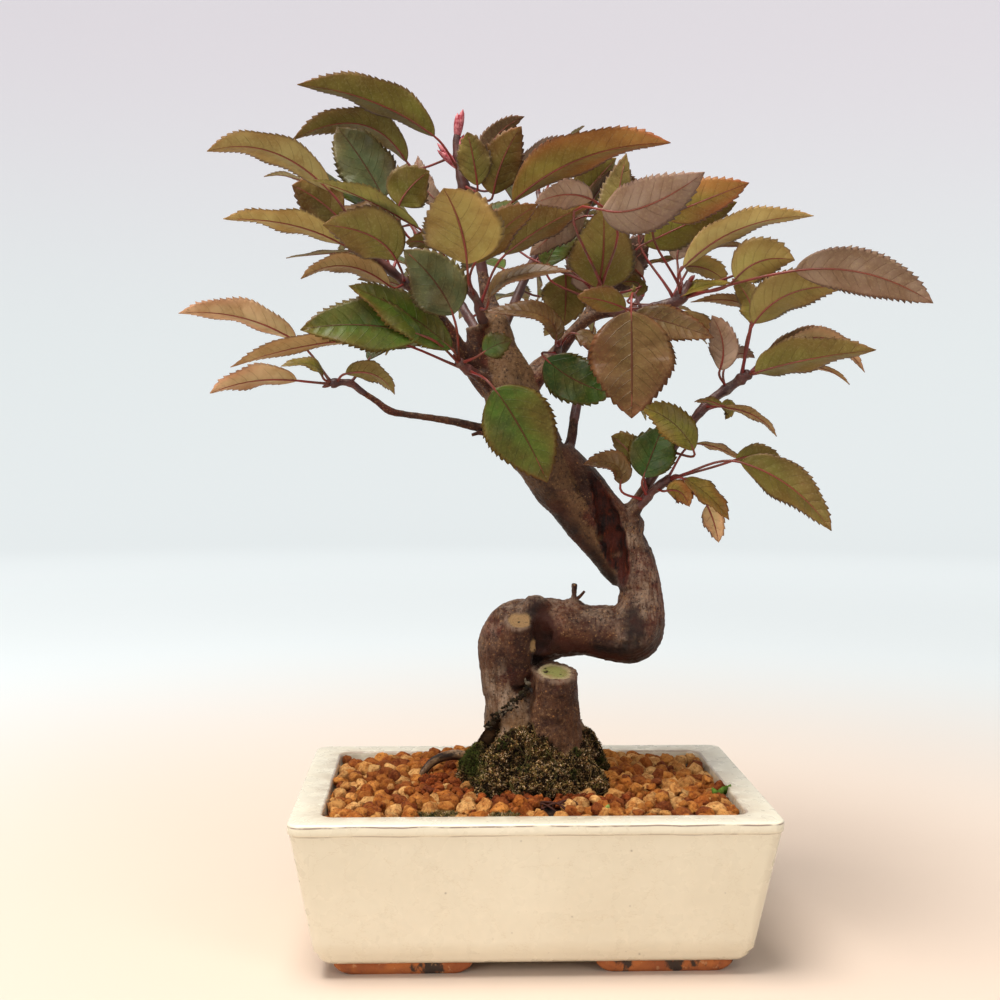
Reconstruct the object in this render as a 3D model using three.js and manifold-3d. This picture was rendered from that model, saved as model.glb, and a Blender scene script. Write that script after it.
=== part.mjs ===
// Apple bonsai in a rectangular glazed pot.
// Millimetres, +Z up. The pot's centre on the table is X = 0, Y = 0, Z = 0 while the pieces are made;
// the whole group is then moved so that the origin is the middle of the footprint of everything.
// The front is -Y. Each shoot is one grown body: its twig, leaf stalks and toothed blades.

import * as THREE from 'three';
import Module from 'manifold-3d';

const wasm = await Module();
wasm.setup();
const { Manifold, Mesh } = wasm;

// Driving dimensions of the pot
const POT = {
  width: 180, depth: 128.4, height: 60,
  rim: 11.5, band: 4.6, step: 0.7, lean: 9.8,
  corner: 5.5, footHeight: 4.6, edgeRound: 6, floor: 12,
};
const FOOT = { outer: 74.6, inner: 22.5, slant: 6, front: 50, back: 20, setIn: 2 };
const DRAIN = { x: 38, hole: 9, screen: 27, thick: 1.2, slots: 4, slot: 3 };
const GAP = 0.3;

// Soil: height at the walls, mound behind the trunk, grain size
const SOIL = { top: 57, mound: 7.6, moundX: 42, moundY: 40, moundBack: 25, edgeDrop: 1.2, grain: 10, relief: 3.2, jitter: 2.2 };

// Moss: thickness on the bark, lowest and highest level, how far round the back it reaches, cushions
const MOSS = { thick: 2.3, low: 50, high: 84, back: 9, cushions: [[-18, 72, -6, 5], [-22, 66, -4, 5.5], [4, 62, -21, 6]] };

// Leaves
const STALK = 0.62;
const EDGE = 0.62;
const RIB = 0.95;
const TEETH = 4;
const NOTCH = 0.95;
const TOOTH = 0.025;

// Places in the tree are read on an upright sheet through the trunk, [x, z], and carried along the line
// of sight to their own depth y. A station of a limb is [x, z, y, radius].
const EYE = new THREE.Vector3(-34, -558, 198.5);

function seen(x, z, y = 0) {
  const reach = (y - EYE.y) / -EYE.y;
  return new THREE.Vector3(EYE.x + (x - EYE.x) * reach, y, EYE.z + (z - EYE.z) * reach);
}

// The trunk's big members
const COLUMN = [
  [3, 34, 2, 15], [2, 52, 1, 20], [1, 64, 0, 19.5], [-2, 74, 0, 16], [-5.5, 84, 0, 12.2],
  [-8.2, 95, 0, 9.6], [-8.8, 106, 0, 9.9], [-8.6, 115, 0, 10.8], [-5.5, 121, 1, 11.8], [2, 121.4, 2, 12.6],
  [12, 121.6, 1, 11.3], [23, 121, 0, 9.9], [33, 119.6, -1, 10.6], [41.5, 120, -1, 12.4],
  [44.8, 127, -1, 10.8], [45.2, 137, 0, 8.4], [42.6, 148, 0, 8.1], [38.4, 157, 0, 7.8],
];
const LIMB = [[45.2, 137, 0, 8.2], [42.2, 149, 0, 8], [37, 160, 0, 7.8], [30, 170.5, 1, 7.6], [21, 180.5, 2, 8],
  [10, 190, 2, 9]];
const SLAB = [[37, 140, 4, 3], [33, 147, 4, 5], [26, 157.5, 3, 6.8], [18.8, 168, 2, 8.2], [10.8, 180, 1, 9.8],
  [3, 192, 0, 11], [-3, 204, 0, 11.8], [-7, 214, 0, 11.4], [-9.8, 223, 0, 10], [-12.3, 232, 0, 8.2],
  [-13.8, 240, 0, 6.6], [-14.6, 245.5, 0, 5.2]];
const ROOTS = [
  [[8, 78, -6, 8], [18, 67, -12, 6], [26, 59, -17, 3.4], [30, 54, -20, 2]],
  [[14, 82, 3, 8], [23, 69, 7, 6], [30, 60, 12, 3.4], [34, 54, 15, 2]],
  [[-8, 80, 3, 7], [-17, 68, 6, 5.5], [-23, 59, 9, 3], [-27, 53, 11, 2]],
  [[-5, 76, -8, 8], [-12, 64, -16, 6], [-16, 56, -22, 3.2], [-18, 50, -25, 2]],
  [[2, 78, 10, 8], [1, 68, 20, 6], [-2, 60, 30, 3.6], [-4, 54, 36, 2]],
  [[-20, 68, 9, 2.6], [-29, 70.5, 9, 2.2], [-37, 68.5, 8, 1.9], [-42, 63.5, 7, 1.7], [-45, 57, 6, 1.5]],
];
// A sawn stub: its stations, the middle of the cut face and the way that face looks
const STUBS = [
  { limb: [[7.5, 60, -3, 15], [9.5, 74, -5, 12.6], [10.4, 84, -7, 10.8], [10.8, 94, -9, 9.4], [11, 109, -11, 8.4]],
    face: [10.9, 104, -11], looks: [0.05, -0.38, 0.92] },
  { limb: [[-4.5, 100, -5, 5.6], [-4, 112, -8, 5.8], [-3.4, 127, -11, 5.6]],
    face: [-3.3, 124.6, -11], looks: [0.02, -0.52, 0.85] },
  { limb: [[-5, 113, -4, 3], [0.4, 114.6, -9, 2.6], [4, 115, -13, 2.4]],
    face: [1.6, 114.6, -11], looks: [0.45, -0.85, 0.1] },
  { limb: [[-15, 222, -3, 4.5], [-20.5, 231, -4, 3.8], [-22, 246, -4, 3.4]],
    face: [-22, 242, -4], looks: [-0.2, -0.15, 1] },
];
const SNAGS = [
  [[18.4, 127, 0, 1.8], [18.3, 134, 0, 1.2], [18.6, 139.6, 0, 1.3]],
  [[18.6, 133, 0, 0.9], [20.6, 134.4, 0, 0.7], [22.6, 136.6, 0, 0.5]],
  [[-14, 199, -2, 1.4], [-20, 199.8, -3, 0.8], [-23, 199, -3, 0.6]],
  [[42, 162.5, -2, 3.2], [43.2, 166, -4, 2.2]],
];
// The long hollow between limb and slab
const HOLLOW = [[24.5, 186, -9, 1.6], [27.2, 176, -10.5, 2.8], [29.4, 166, -10, 3.8], [32.5, 155, -9, 4.4],
  [36, 146, -8.5, 4], [37.2, 139.5, -8, 2.2]];

// Limbs that carry the shoots: the bare wood belongs to the trunk, the green part to the shoot
const LIMBS = {
  low_left: {
    wood: [[-8, 203, 0, 3], [-18, 201.8, -1, 2], [-30, 204.3, -2, 1.7], [-41, 206, -4, 1.5], [-50, 207.2, -5, 1.5],
      [-55.5, 208.4, -6, 1.7], [-61, 212.4, -7, 1.4], [-66.5, 216, -8, 1.3]],
    shoot: [[-66.5, 216, -8, 1.3], [-71, 219.2, -9, 1.3], [-76.3, 219.6, -10, 1.3], [-79, 218.8, -10, 1]],
  },
  upper_left: {
    wood: [[-12, 214, 0, 5], [-22, 224, -3, 3.4], [-28, 233.5, -6, 2.9], [-33, 242, -8, 2.5], [-38, 248, -10, 2.2]],
    shoot: [[-38, 248, -10, 2.2], [-45, 255.2, -12, 1.9], [-51, 260.4, -14, 1.7], [-58, 266, -16, 1.4],
      [-63.5, 269.6, -18, 1.1]],
  },
  left_inner: {
    wood: [[-14, 217, -4, 3], [-21.5, 223.2, -10, 2]],
    shoot: [[-21.5, 223.2, -10, 2], [-25.8, 225.6, -13, 1.5], [-28.6, 228.6, -15, 1.1]],
  },
  inner: {
    wood: [[-3, 214, 0, 4], [4.5, 223, 0, 3], [9.5, 229, -1, 2.2]],
    shoot: [[9.5, 229, -1, 2.2], [11, 232.4, -6, 1.5], [11.4, 235, -10, 1.1]],
  },
  front_spur: {
    wood: [[-15, 240, 0, 3], [-18.8, 244.5, -6, 2]],
    shoot: [[-18.8, 244.5, -6, 2], [-20.8, 251.5, -10, 1.6], [-24.6, 257, -13, 1.4], [-29, 261, -15, 1.1]],
  },
  leader: {
    wood: [[-14.6, 245.5, 0, 4.4], [-17, 254, 2, 3], [-19, 264, 4, 2.2]],
    shoot: [[-19, 264, 4, 2.2], [-20.4, 274, 5, 1.9], [-23, 286, 5, 1.7], [-26.4, 297, 5, 2], [-28.2, 306, 5, 2],
      [-29.2, 315, 5, 1.7], [-28.6, 322.5, 5, 0.5]],
  },
  upper_right: {
    wood: [[-4, 214, 2, 4.6], [3.5, 225, 4, 4], [10, 231, 5, 3.2], [16, 238.5, 6, 2.7], [21.6, 245.3, 7, 2.3],
      [25.4, 251.4, 7.6, 1.8]],
    shoot: [[25.4, 251.4, 7.6, 1.8], [28.4, 254.6, 6.6, 1.6], [31.6, 257.8, 5.4, 1.5], [35.5, 262, 4, 1.1]],
  },
  right: {
    wood: [[15, 237, 6, 2.2], [21, 243.6, 6, 2.3], [27, 247, 5, 2.2], [33, 248, 4, 2.1]],
    shoot: [[33, 248, 4, 2.1], [41, 248.2, 2, 2], [49, 249.9, 0, 1.97], [56, 251.7, -2, 2], [59.6, 253.6, -3, 1.8],
      [63.6, 260.4, -3, 1.4]],
  },
  right_middle: {
    wood: [[40, 166, 1, 4], [43.5, 172.8, 0, 2.6], [48.5, 181, -2, 2]],
    shoot: [[48.5, 181, -2, 2], [56, 192, -5, 1.8], [63, 201.2, -7, 1.7], [67.4, 207.4, -8, 1.7], [73, 213.4, -8, 1.8],
      [80, 218.4, -8, 1.9], [84.4, 221.6, -8, 1.8], [88.6, 224.4, -8, 1]],
  },
  right_low: {
    wood: [[41, 167, -2, 3], [45, 171.6, -4, 1.8]],
    shoot: [[45, 171.6, -4, 1.6], [49, 176.2, -6, 1.5], [53, 179.6, -8, 1.5], [57, 182, -10, 1.1]],
  },
  back_right: {
    wood: [[12, 186, 4, 4], [16.5, 196, 7, 2.2], [18, 206, 10, 2]],
    shoot: [[18, 206, 10, 2], [21, 219, 21, 1.8], [27, 231, 34, 1.6], [35, 243, 48, 1.3], [44, 254, 62, 1]],
  },
  back_left: {
    wood: [[-12, 220, 4, 4], [-17, 230, 13, 2.4], [-20, 238, 22, 2.1]],
    shoot: [[-20, 238, 22, 2.1], [-27, 250, 36, 1.8], [-35, 262, 50, 1.5], [-42, 273, 64, 1.2], [-47, 282, 76, 0.9]],
  },
  back: {
    wood: [[-13, 232, 4, 3.4], [-11, 240, 12, 2.3], [-8, 247, 20, 2]],
    shoot: [[-8, 247, 20, 2], [-3, 259, 33, 1.8], [2, 271, 46, 1.5], [4, 283, 58, 1.2], [3, 295, 68, 0.9]],
  },
};

// One row a leaf: place on the twig from 0 to 1, neck [x, z, y], middle of the rib [x, z], tip [x, z, y],
// full width, turn (0 shows the top to the front, 90 looks up, 180 shows the underside) and fold at the rib.
const LEAVES = {
  low_left: [
    [0.95, [-92, 220.2, -14], [-109.5, 220], [-126.5, 215, -22], 15, 136, 38],
    [0.9, [-92.2, 235.6, -5], [-114, 245], [-138.6, 246.6, -8], 16, 139, 38],
    [0.8, [-82, 221.6, -14], [-87.5, 226.6], [-98.5, 225.8, -20], 9, 60, 25],
    [0.7, [-73, 223, -16], [-61.5, 222.8], [-53.3, 215, -24], 13, 132, 30],
    [0.35, [-64, 228.4, -4], [-55, 235], [-38.5, 234.4, 6], 10, 50, 20],
  ],
  upper_left: [
    [1, [-79, 294.5, -26], [-102, 309.8], [-127.3, 309.8, -30], 19, 139, 40],
    [0.97, [-74, 273.8, -24], [-95, 281.6], [-121, 283.4, -34], 16, 130, 36],
    [0.9, [-70, 271.4, -12], [-83, 270.2], [-96.4, 268.6, -6], 8, 98, 20],
    [0.42, [-55.5, 257.6, -20], [-73, 265.6], [-91, 260.6, -26], 14, 128, 30],
    [0.45, [-53, 268, -34], [-63.5, 277.6], [-82, 281.4, -44], 22, 158, 22],
    [0.62, [-52.5, 279.5, -6], [-63, 286], [-78.5, 285.2, -4], 18, 62, 18],
    [0.75, [-58, 292, 2], [-66.5, 306.4], [-76.4, 319.8, 6], 25, 24, 16],
    [0.7, [-75, 283.6, -14], [-84, 291.4], [-94, 296.8, -16], 18, 160, 18],
    [0.65, [-64, 286, 12], [-75, 296.6], [-88.6, 303.4, 14], 14, 70, 15],
    [0.85, [-78, 291, 20], [-92, 299.4], [-105, 300.2, 24], 9, 100, 20],
    [0.3, [-49, 256.6, -2], [-57, 259.8], [-68.4, 260.4, 6], 10, 120, 18],
  ],
  left_inner: [
    [0.6, [-43, 238.4, -30], [-66, 242.2], [-91, 240.3, -42], 21, 22, 16],
    [0.95, [-31, 233, -22], [-50, 247.4], [-72, 257.6, -38], 18, 34, 12],
    [0.35, [-62, 236.6, -26], [-89, 234], [-118.6, 225.6, -34], 14, 122, 30],
    [0.3, [-14, 217.4, -31], [-3.4, 201.4], [7.6, 180, -32], 27, 6, 10],
    [0.8, [-18.6, 231.6, -21], [-13.2, 234.8], [-7, 236.6, -24], 10, 12, 8],
    [0.9, [-30.6, 246.6, -32], [-37.6, 259.2], [-50, 272.2, -40], 22, 18, 14],
  ],
  inner: [
    [0.4, [6.4, 229.4, -22], [19, 220.6], [33.6, 216, -26], 19, 10, 10],
    [0.9, [10.4, 236.6, -16], [4.2, 246.6], [-18.6, 248.2, -22], 13, 52, 22],
    [0.7, [18, 239.6, -14], [23.6, 236.6], [25.4, 231.4, -18], 8, 30, 12],
  ],
  front_spur: [
    [0.95, [-44, 280.4, -34], [-66, 292.2], [-86, 299, -48], 14, 112, 22],
    [0.9, [-52, 289.4, -22], [-47.6, 296.4], [-40, 303, -20], 18, 166, 14],
    [0.6, [-25, 266.6, -50], [-27.8, 281.6], [-34.4, 297, -66], 30, 168, 14],
    [0.5, [-22, 267, -34], [-12.4, 279.2], [3, 290.6, -42], 17, 150, 24],
    [0.25, [-10, 270.4, -14], [5.4, 281.8], [24, 291, -22], 20, 142, 36],
    [0.2, [-16.4, 252.4, -26], [-7, 261.4], [17.4, 264.6, -38], 14, 62, 20],
    [0.7, [-38.6, 272.6, -30], [-43, 275.4], [-49.6, 275, -38], 10, 140, 16],
  ],
  leader: [
    [0.58, [-38, 316.4, 0], [-62, 329.6], [-92, 336.4, -6], 22, 139, 40],
    [0.72, [-49, 306.4, 14], [-67.5, 321], [-94.2, 314.2, 16], 19, 132, 30],
    [0.5, [-21, 297.4, -8], [-22.8, 308.6], [-25.2, 318.4, -14], 13, 172, 14],
    [0.44, [-14.8, 294, -6], [-11.2, 307.4], [-3.8, 321, -12], 17, 168, 16],
    [0.55, [-17.4, 302, 12], [-14.6, 315.6], [-2.6, 324.8, 18], 11, 150, 16],
    [0.36, [-7, 291.4, -16], [20, 308.6], [55.8, 316, -30], 25, 138, 38],
    [0.4, [-18, 281, 14], [-13.6, 287.4], [-6, 292, 20], 13, 60, 12],
    [0.5, [-12, 298, 30], [2, 308.6], [15.4, 317, 42], 14, 130, 18],
    [0.3, [-34, 290, 22], [-42, 297], [-44.6, 309, 30], 10, 150, 14],
  ],
  upper_right: [
    [0.2, [26.6, 257.6, -12], [29, 270.6], [28.8, 290, -14], 27, 172, 14],
    [0.4, [28.4, 288.6, -66], [46, 290.2], [69.4, 304, -78], 20, 164, 16],
    [0.35, [24.6, 292.4, -52], [14, 294.4], [1.6, 290.8, -58], 11, 158, 14],
    [0.95, [45.4, 275.2, -6], [63, 283.6], [82.4, 292.2, -10], 19, 160, 22],
    [0.3, [14, 263, 16], [14.2, 253.6], [13.6, 242.4, 20], 20, 168, 10],
    [0.7, [33, 276, 20], [34, 290], [38, 311, 26], 16, 160, 14],
    [0.6, [20, 279, 26], [29.6, 299], [44.4, 297.4, 34], 11, 120, 20],
    [0.5, [-2.6, 276.4, 22], [9.4, 280.6], [24, 284.4, 26], 14, 40, 14],
    [0.85, [36, 290, 22], [42, 294.6], [47.6, 292.6, 26], 8, 120, 12],
    [0.9, [40.6, 265, 14], [42, 271], [45.4, 279, 18], 15, 150, 12],
  ],
  right: [
    [0.86, [53, 286, -26], [68.4, 292.4], [87.2, 300, -34], 16, 162, 18],
    [0.82, [61, 266, -16], [83.4, 281.6], [113.4, 287.4, -24], 15, 139, 36],
    [0.88, [61.6, 266.6, 4], [70.6, 265.6], [79, 260.2, 8], 12, 140, 20],
    [0.8, [106, 265.2, -30], [134.6, 264.4], [162.4, 252.6, -48], 18, 162, 10],
    [0.85, [82, 261.6, -18], [92.4, 269], [106, 269.4, -20], 19, 158, 22],
    [0.84, [88, 272.4, 4], [79.6, 275], [66.6, 271.8, 10], 7, 105, 16],
    [0.9, [60.6, 254.6, -6], [69, 258.8], [80.4, 260.2, -2], 9, 60, 14],
    [0.3, [40.4, 248.6, -42], [40.8, 228.4], [41, 206, -48], 31, 8, 10],
    [0.2, [38.2, 249.6, -30], [29, 252.8], [18.6, 254.2, -32], 12, 150, 22],
    [0.42, [41.6, 247.6, -26], [56.4, 243.8], [73.8, 238.2, -30], 14, 28, 18],
    [0.75, [58.6, 269, 10], [60.6, 276], [68.6, 282.4, 14], 11, 156, 12],
    [0.5, [39.6, 253.6, 8], [43, 260], [29.4, 259.2, 14], 8, 130, 18],
    [0.6, [60, 270.6, 22], [53, 269], [45.4, 267.6, 26], 7, 110, 12],
    [0.7, [45, 284, 8], [52, 291.4], [62.2, 298.6, 6], 12, 150, 16],
    [0.55, [61, 248.6, 14], [69, 243.4], [76.2, 237, 20], 10, 140, 16],
  ],
  right_middle: [
    [0.7, [76.2, 225.4, -12], [77.4, 236], [72.8, 247.4, -14], 13, 156, 20],
    [0.68, [78.4, 227, 2], [83.4, 232], [90.3, 230.4, 8], 8, 130, 14],
    [0.98, [90.4, 224.4, -14], [110, 229.6], [139.4, 234.6, -26], 22, 139, 38],
    [0.95, [93.6, 229.6, 4], [104.4, 237.4], [116.6, 243.2, 8], 8, 140, 14],
    [0.97, [97.6, 229.4, 0], [117.6, 238.8], [135, 224.6, 0], 10, 132, 18],
    [0.96, [104.6, 226.4, -6], [118, 226.4], [129, 220, -10], 6, 112, 14],
    [0.88, [89.6, 244, -14], [104.4, 256.2], [127, 258.8, -22], 20, 150, 24],
    [0.87, [89, 244.6, -2], [87.6, 253.6], [80.8, 262, 4], 12, 150, 22],
    [0.86, [88.4, 244, 10], [83.4, 252.6], [64, 252.2, 18], 9, 128, 18],
    [0.55, [77.4, 211.2, -18], [71.6, 213.2], [66, 212.8, -20], 6, 120, 14],
    [0.5, [77, 210.8, -16], [90.6, 207.4], [99.8, 199, -24], 8, 118, 14],
    [0.45, [76.6, 211, -2], [80.4, 210], [78.6, 205.6, 2], 7, 40, 10],
    [0.15, [66, 193.2, -20], [57.4, 204.2], [44, 210.9, -22], 14, 26, 16],
  ],
  right_low: [
    [0.1, [36.6, 179.6, -14], [34, 187.4], [21.6, 187.6, -18], 13, 44, 26],
    [0.2, [45.8, 182.4, -14], [49.6, 192.6], [53.6, 203, -12], 19, 10, 12],
    [0.25, [43.6, 188, -2], [38.6, 194.4], [33, 199, 4], 13, 150, 16],
    [0.5, [55.2, 177, -12], [61, 176.4], [64.6, 170.6, -16], 10, 150, 16],
    [0.9, [62.4, 181.8, -16], [71.6, 175.4], [81, 165.6, -22], 13, 50, 26],
    [0.7, [71.6, 171.4, -8], [74.6, 164.4], [76.6, 156.2, -8], 9, 160, 12],
    [0.8, [67, 196, -2], [75.4, 194.6], [85.8, 189.4, 6], 8, 118, 18],
    [0.95, [83, 189.6, -10], [92, 191.6], [101, 190.8, -8], 10, 150, 18],
    [0.97, [85, 188.6, -20], [105.4, 178.8], [122.6, 161, -34], 19, 148, 26],
    [0.6, [61.6, 180.8, 2], [66.6, 181.6], [71.6, 179, 8], 6, 80, 10],
  ],
};

// Shoots behind the trunk: leaves set round the twig by rule, a third of a turn and more apart
const BEHIND = {
  back_right: { count: 8, first: 0.3, length: 44, width: 18, spread: 62, start: 20 },
  back_left: { count: 10, first: 0.15, length: 46, width: 19, spread: 60, start: 75 },
  back: { count: 9, first: 0.2, length: 44, width: 18, spread: 62, start: 140 },
};
const GOLDEN = 137.5;

// Seeded random numbers, the same on every run
function seeded(seed) {
  let state = seed;
  return () => {
    state = (state * 16807) % 2147483647;
    return state / 2147483647;
  };
}

// Solids

function solid(positions, triangles) {
  let volume = 0;
  const corner = (index) => new THREE.Vector3().fromArray(positions, index * 3);
  for (let i = 0; i < triangles.length; i += 3) {
    const [a, b, c] = [corner(triangles[i]), corner(triangles[i + 1]), corner(triangles[i + 2])];
    volume += a.dot(b.cross(c));
  }
  const faces = new Uint32Array(triangles);
  if (volume < 0) faces.reverse();
  return new Manifold(new Mesh({ numProp: 3, vertProperties: new Float32Array(positions), triVerts: faces }));
}

// Rings of equal count joined into one closed body, each end closed round its middle
function loft(rings) {
  const positions = [];
  const triangles = [];
  const count = rings[0].length;
  rings.forEach((ring) => ring.forEach((point) => positions.push(point.x, point.y, point.z)));
  const at = (ring, k) => ring * count + (k % count);
  for (let i = 0; i < rings.length - 1; i += 1) {
    for (let k = 0; k < count; k += 1) {
      triangles.push(at(i, k), at(i, k + 1), at(i + 1, k + 1));
      triangles.push(at(i, k), at(i + 1, k + 1), at(i + 1, k));
    }
  }
  [[0, 1], [rings.length - 1, -1]].forEach(([ring, way]) => {
    const middle = new THREE.Vector3();
    rings[ring].forEach((point) => middle.add(point));
    middle.divideScalar(count);
    const hub = positions.length / 3;
    positions.push(middle.x, middle.y, middle.z);
    for (let k = 0; k < count; k += 1) {
      if (way > 0) triangles.push(hub, at(ring, k + 1), at(ring, k));
      else triangles.push(hub, at(ring, k), at(ring, k + 1));
    }
  });
  return solid(positions, triangles);
}

function box(x0, x1, y0, y1, z0, z1) {
  const level = (z) => [[x0, y0], [x1, y0], [x1, y1], [x0, y1]].map(([x, y]) => new THREE.Vector3(x, y, z));
  return loft([level(z0), level(z1)]);
}

const turnedOff = (vector, axis) => vector.clone().addScaledVector(axis, -vector.dot(axis)).normalize();

function curveThrough(stations) {
  return new THREE.CatmullRomCurve3(stations.map(([x, z, y]) => seen(x, z, y)), false, 'centripetal');
}

// A limb: round rings along a smooth curve through its stations, or through those in a range of it
function limb(stations, { sides = 8, steps = 1, grow = 0, bumps = 0, begin = 0, from = 0, to = stations.length - 1 } = {}) {
  const curve = curveThrough(stations);
  const count = (stations.length - 1) * steps;
  const rings = [];
  let across = new THREE.Vector3(0.31, -0.94, 0.12);
  for (let i = from * steps; i <= to * steps; i += 1) {
    const t = i / count;
    const centre = curve.getPoint(t);
    const along = curve.getTangent(t);
    if (i === from * steps) centre.addScaledVector(along, begin);
    across = turnedOff(across, along);
    const other = along.clone().cross(across);
    const span = Math.min(Math.floor(i / steps), stations.length - 2);
    const radius = THREE.MathUtils.lerp(stations[span][3], stations[span + 1][3], i / steps - span) + grow;
    const ring = [];
    for (let k = 0; k < sides; k += 1) {
      const angle = (2 * Math.PI * k) / sides;
      const swell = 1 + bumps * Math.sin(3 * angle + i * 1.3) + bumps * Math.sin(2 * angle - i * 0.8);
      ring.push(centre.clone()
        .addScaledVector(across, radius * swell * Math.cos(angle))
        .addScaledVector(other, radius * swell * Math.sin(angle)));
    }
    rings.push(ring);
  }
  return loft(rings);
}

// Pot

function roundedLevel(halfX, halfY, radius, z, perCorner = 5) {
  const ring = [];
  const quarters = [[1, -1, -90], [1, 1, 0], [-1, 1, 90], [-1, -1, 180]];
  quarters.forEach(([sx, sy, start]) => {
    for (let k = 0; k < perCorner; k += 1) {
      const angle = THREE.MathUtils.degToRad(start + (90 * k) / (perCorner - 1));
      ring.push(new THREE.Vector3(
        sx * (halfX - radius) + radius * Math.cos(angle),
        sy * (halfY - radius) + radius * Math.sin(angle),
        z,
      ));
    }
  });
  return ring;
}

const innerHalf = (z) => {
  const down = (POT.height - z) / (POT.height - POT.floor);
  return [POT.width / 2 - POT.rim - 6.5 * down, POT.depth / 2 - POT.rim - 6.5 * down];
};

function potWall(inset, z) {
  return roundedLevel(POT.width / 2 - inset, POT.depth / 2 - inset, POT.corner - inset * 0.2, z);
}

function makePot() {
  const bandBottom = POT.height - POT.band;
  const leanAt = (z) => POT.step + (POT.lean - POT.step) * ((bandBottom - z) / (bandBottom - POT.footHeight));
  const low = POT.footHeight;
  const outer = loft([
    potWall(leanAt(low) + POT.edgeRound * 0.9, low),
    potWall(leanAt(low) + POT.edgeRound * 0.28, low + POT.edgeRound * 0.25),
    potWall(leanAt(low + POT.edgeRound), low + POT.edgeRound),
    potWall(leanAt(bandBottom), bandBottom),
    potWall(0, bandBottom + 1),
    potWall(0, POT.height - 0.9),
    potWall(0.9, POT.height),
  ]);
  const cavityLevel = (z, radius) => roundedLevel(...innerHalf(z), radius, z);
  const cavity = loft([cavityLevel(POT.floor, 6), cavityLevel(POT.height + 1, 6)]);
  const feet = [];
  [-1, 1].forEach((sx) => [-1, 1].forEach((sy) => {
    const level = (z, draw) => {
      const xs = [sx * (FOOT.inner + draw * FOOT.slant), sx * (FOOT.outer - draw * FOOT.slant)].sort((a, b) => a - b);
      const ys = [sy * (FOOT.back + draw * FOOT.setIn), sy * (FOOT.front - draw * FOOT.setIn)].sort((a, b) => a - b);
      return [[xs[0], ys[0]], [xs[1], ys[0]], [xs[1], ys[1]], [xs[0], ys[1]]]
        .map(([x, y]) => new THREE.Vector3(x, y, z));
    };
    feet.push(loft([level(0, 1), level(2.2, 0.45), level(low + 1, 0)]));
  }));
  const drains = [-1, 1].map((sx) => {
    const level = (z) => roundedLevel(DRAIN.hole, DRAIN.hole, DRAIN.hole - 0.1, z, 4)
      .map((point) => point.add(new THREE.Vector3(sx * DRAIN.x, 0, 0)));
    return loft([level(0), level(POT.floor + 2)]);
  });
  return Manifold.union([outer, ...feet]).subtract(Manifold.union([cavity, ...drains]));
}

// A flat mesh square over a drainage hole, on the pot's floor
function makeScreen(side, grow = 0) {
  const half = DRAIN.screen / 2 + grow;
  const x = side * DRAIN.x;
  const z = POT.floor + GAP;
  const plate = box(x - half, x + half, -half, half, z - grow, z + DRAIN.thick + grow);
  if (grow > 0) return plate;
  const slots = [];
  const pitch = DRAIN.screen / (DRAIN.slots + 1);
  for (let i = 1; i <= DRAIN.slots; i += 1) {
    const middle = x - half + i * pitch;
    slots.push(box(middle - DRAIN.slot / 2, middle + DRAIN.slot / 2, -half + 3, half - 3, z - 1, z + DRAIN.thick + 1));
  }
  return plate.subtract(Manifold.union(slots));
}

// Soil

function soilHeight(x, y) {
  const mound = SOIL.mound * Math.exp(-((x / SOIL.moundX) ** 2) - ((y - SOIL.moundBack) / SOIL.moundY) ** 2);
  const [halfX, halfY] = innerHalf(SOIL.top);
  const edge = Math.max(Math.abs(x) / halfX, Math.abs(y) / halfY);
  return SOIL.top + mound - SOIL.edgeDrop * edge ** 6;
}

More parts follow.
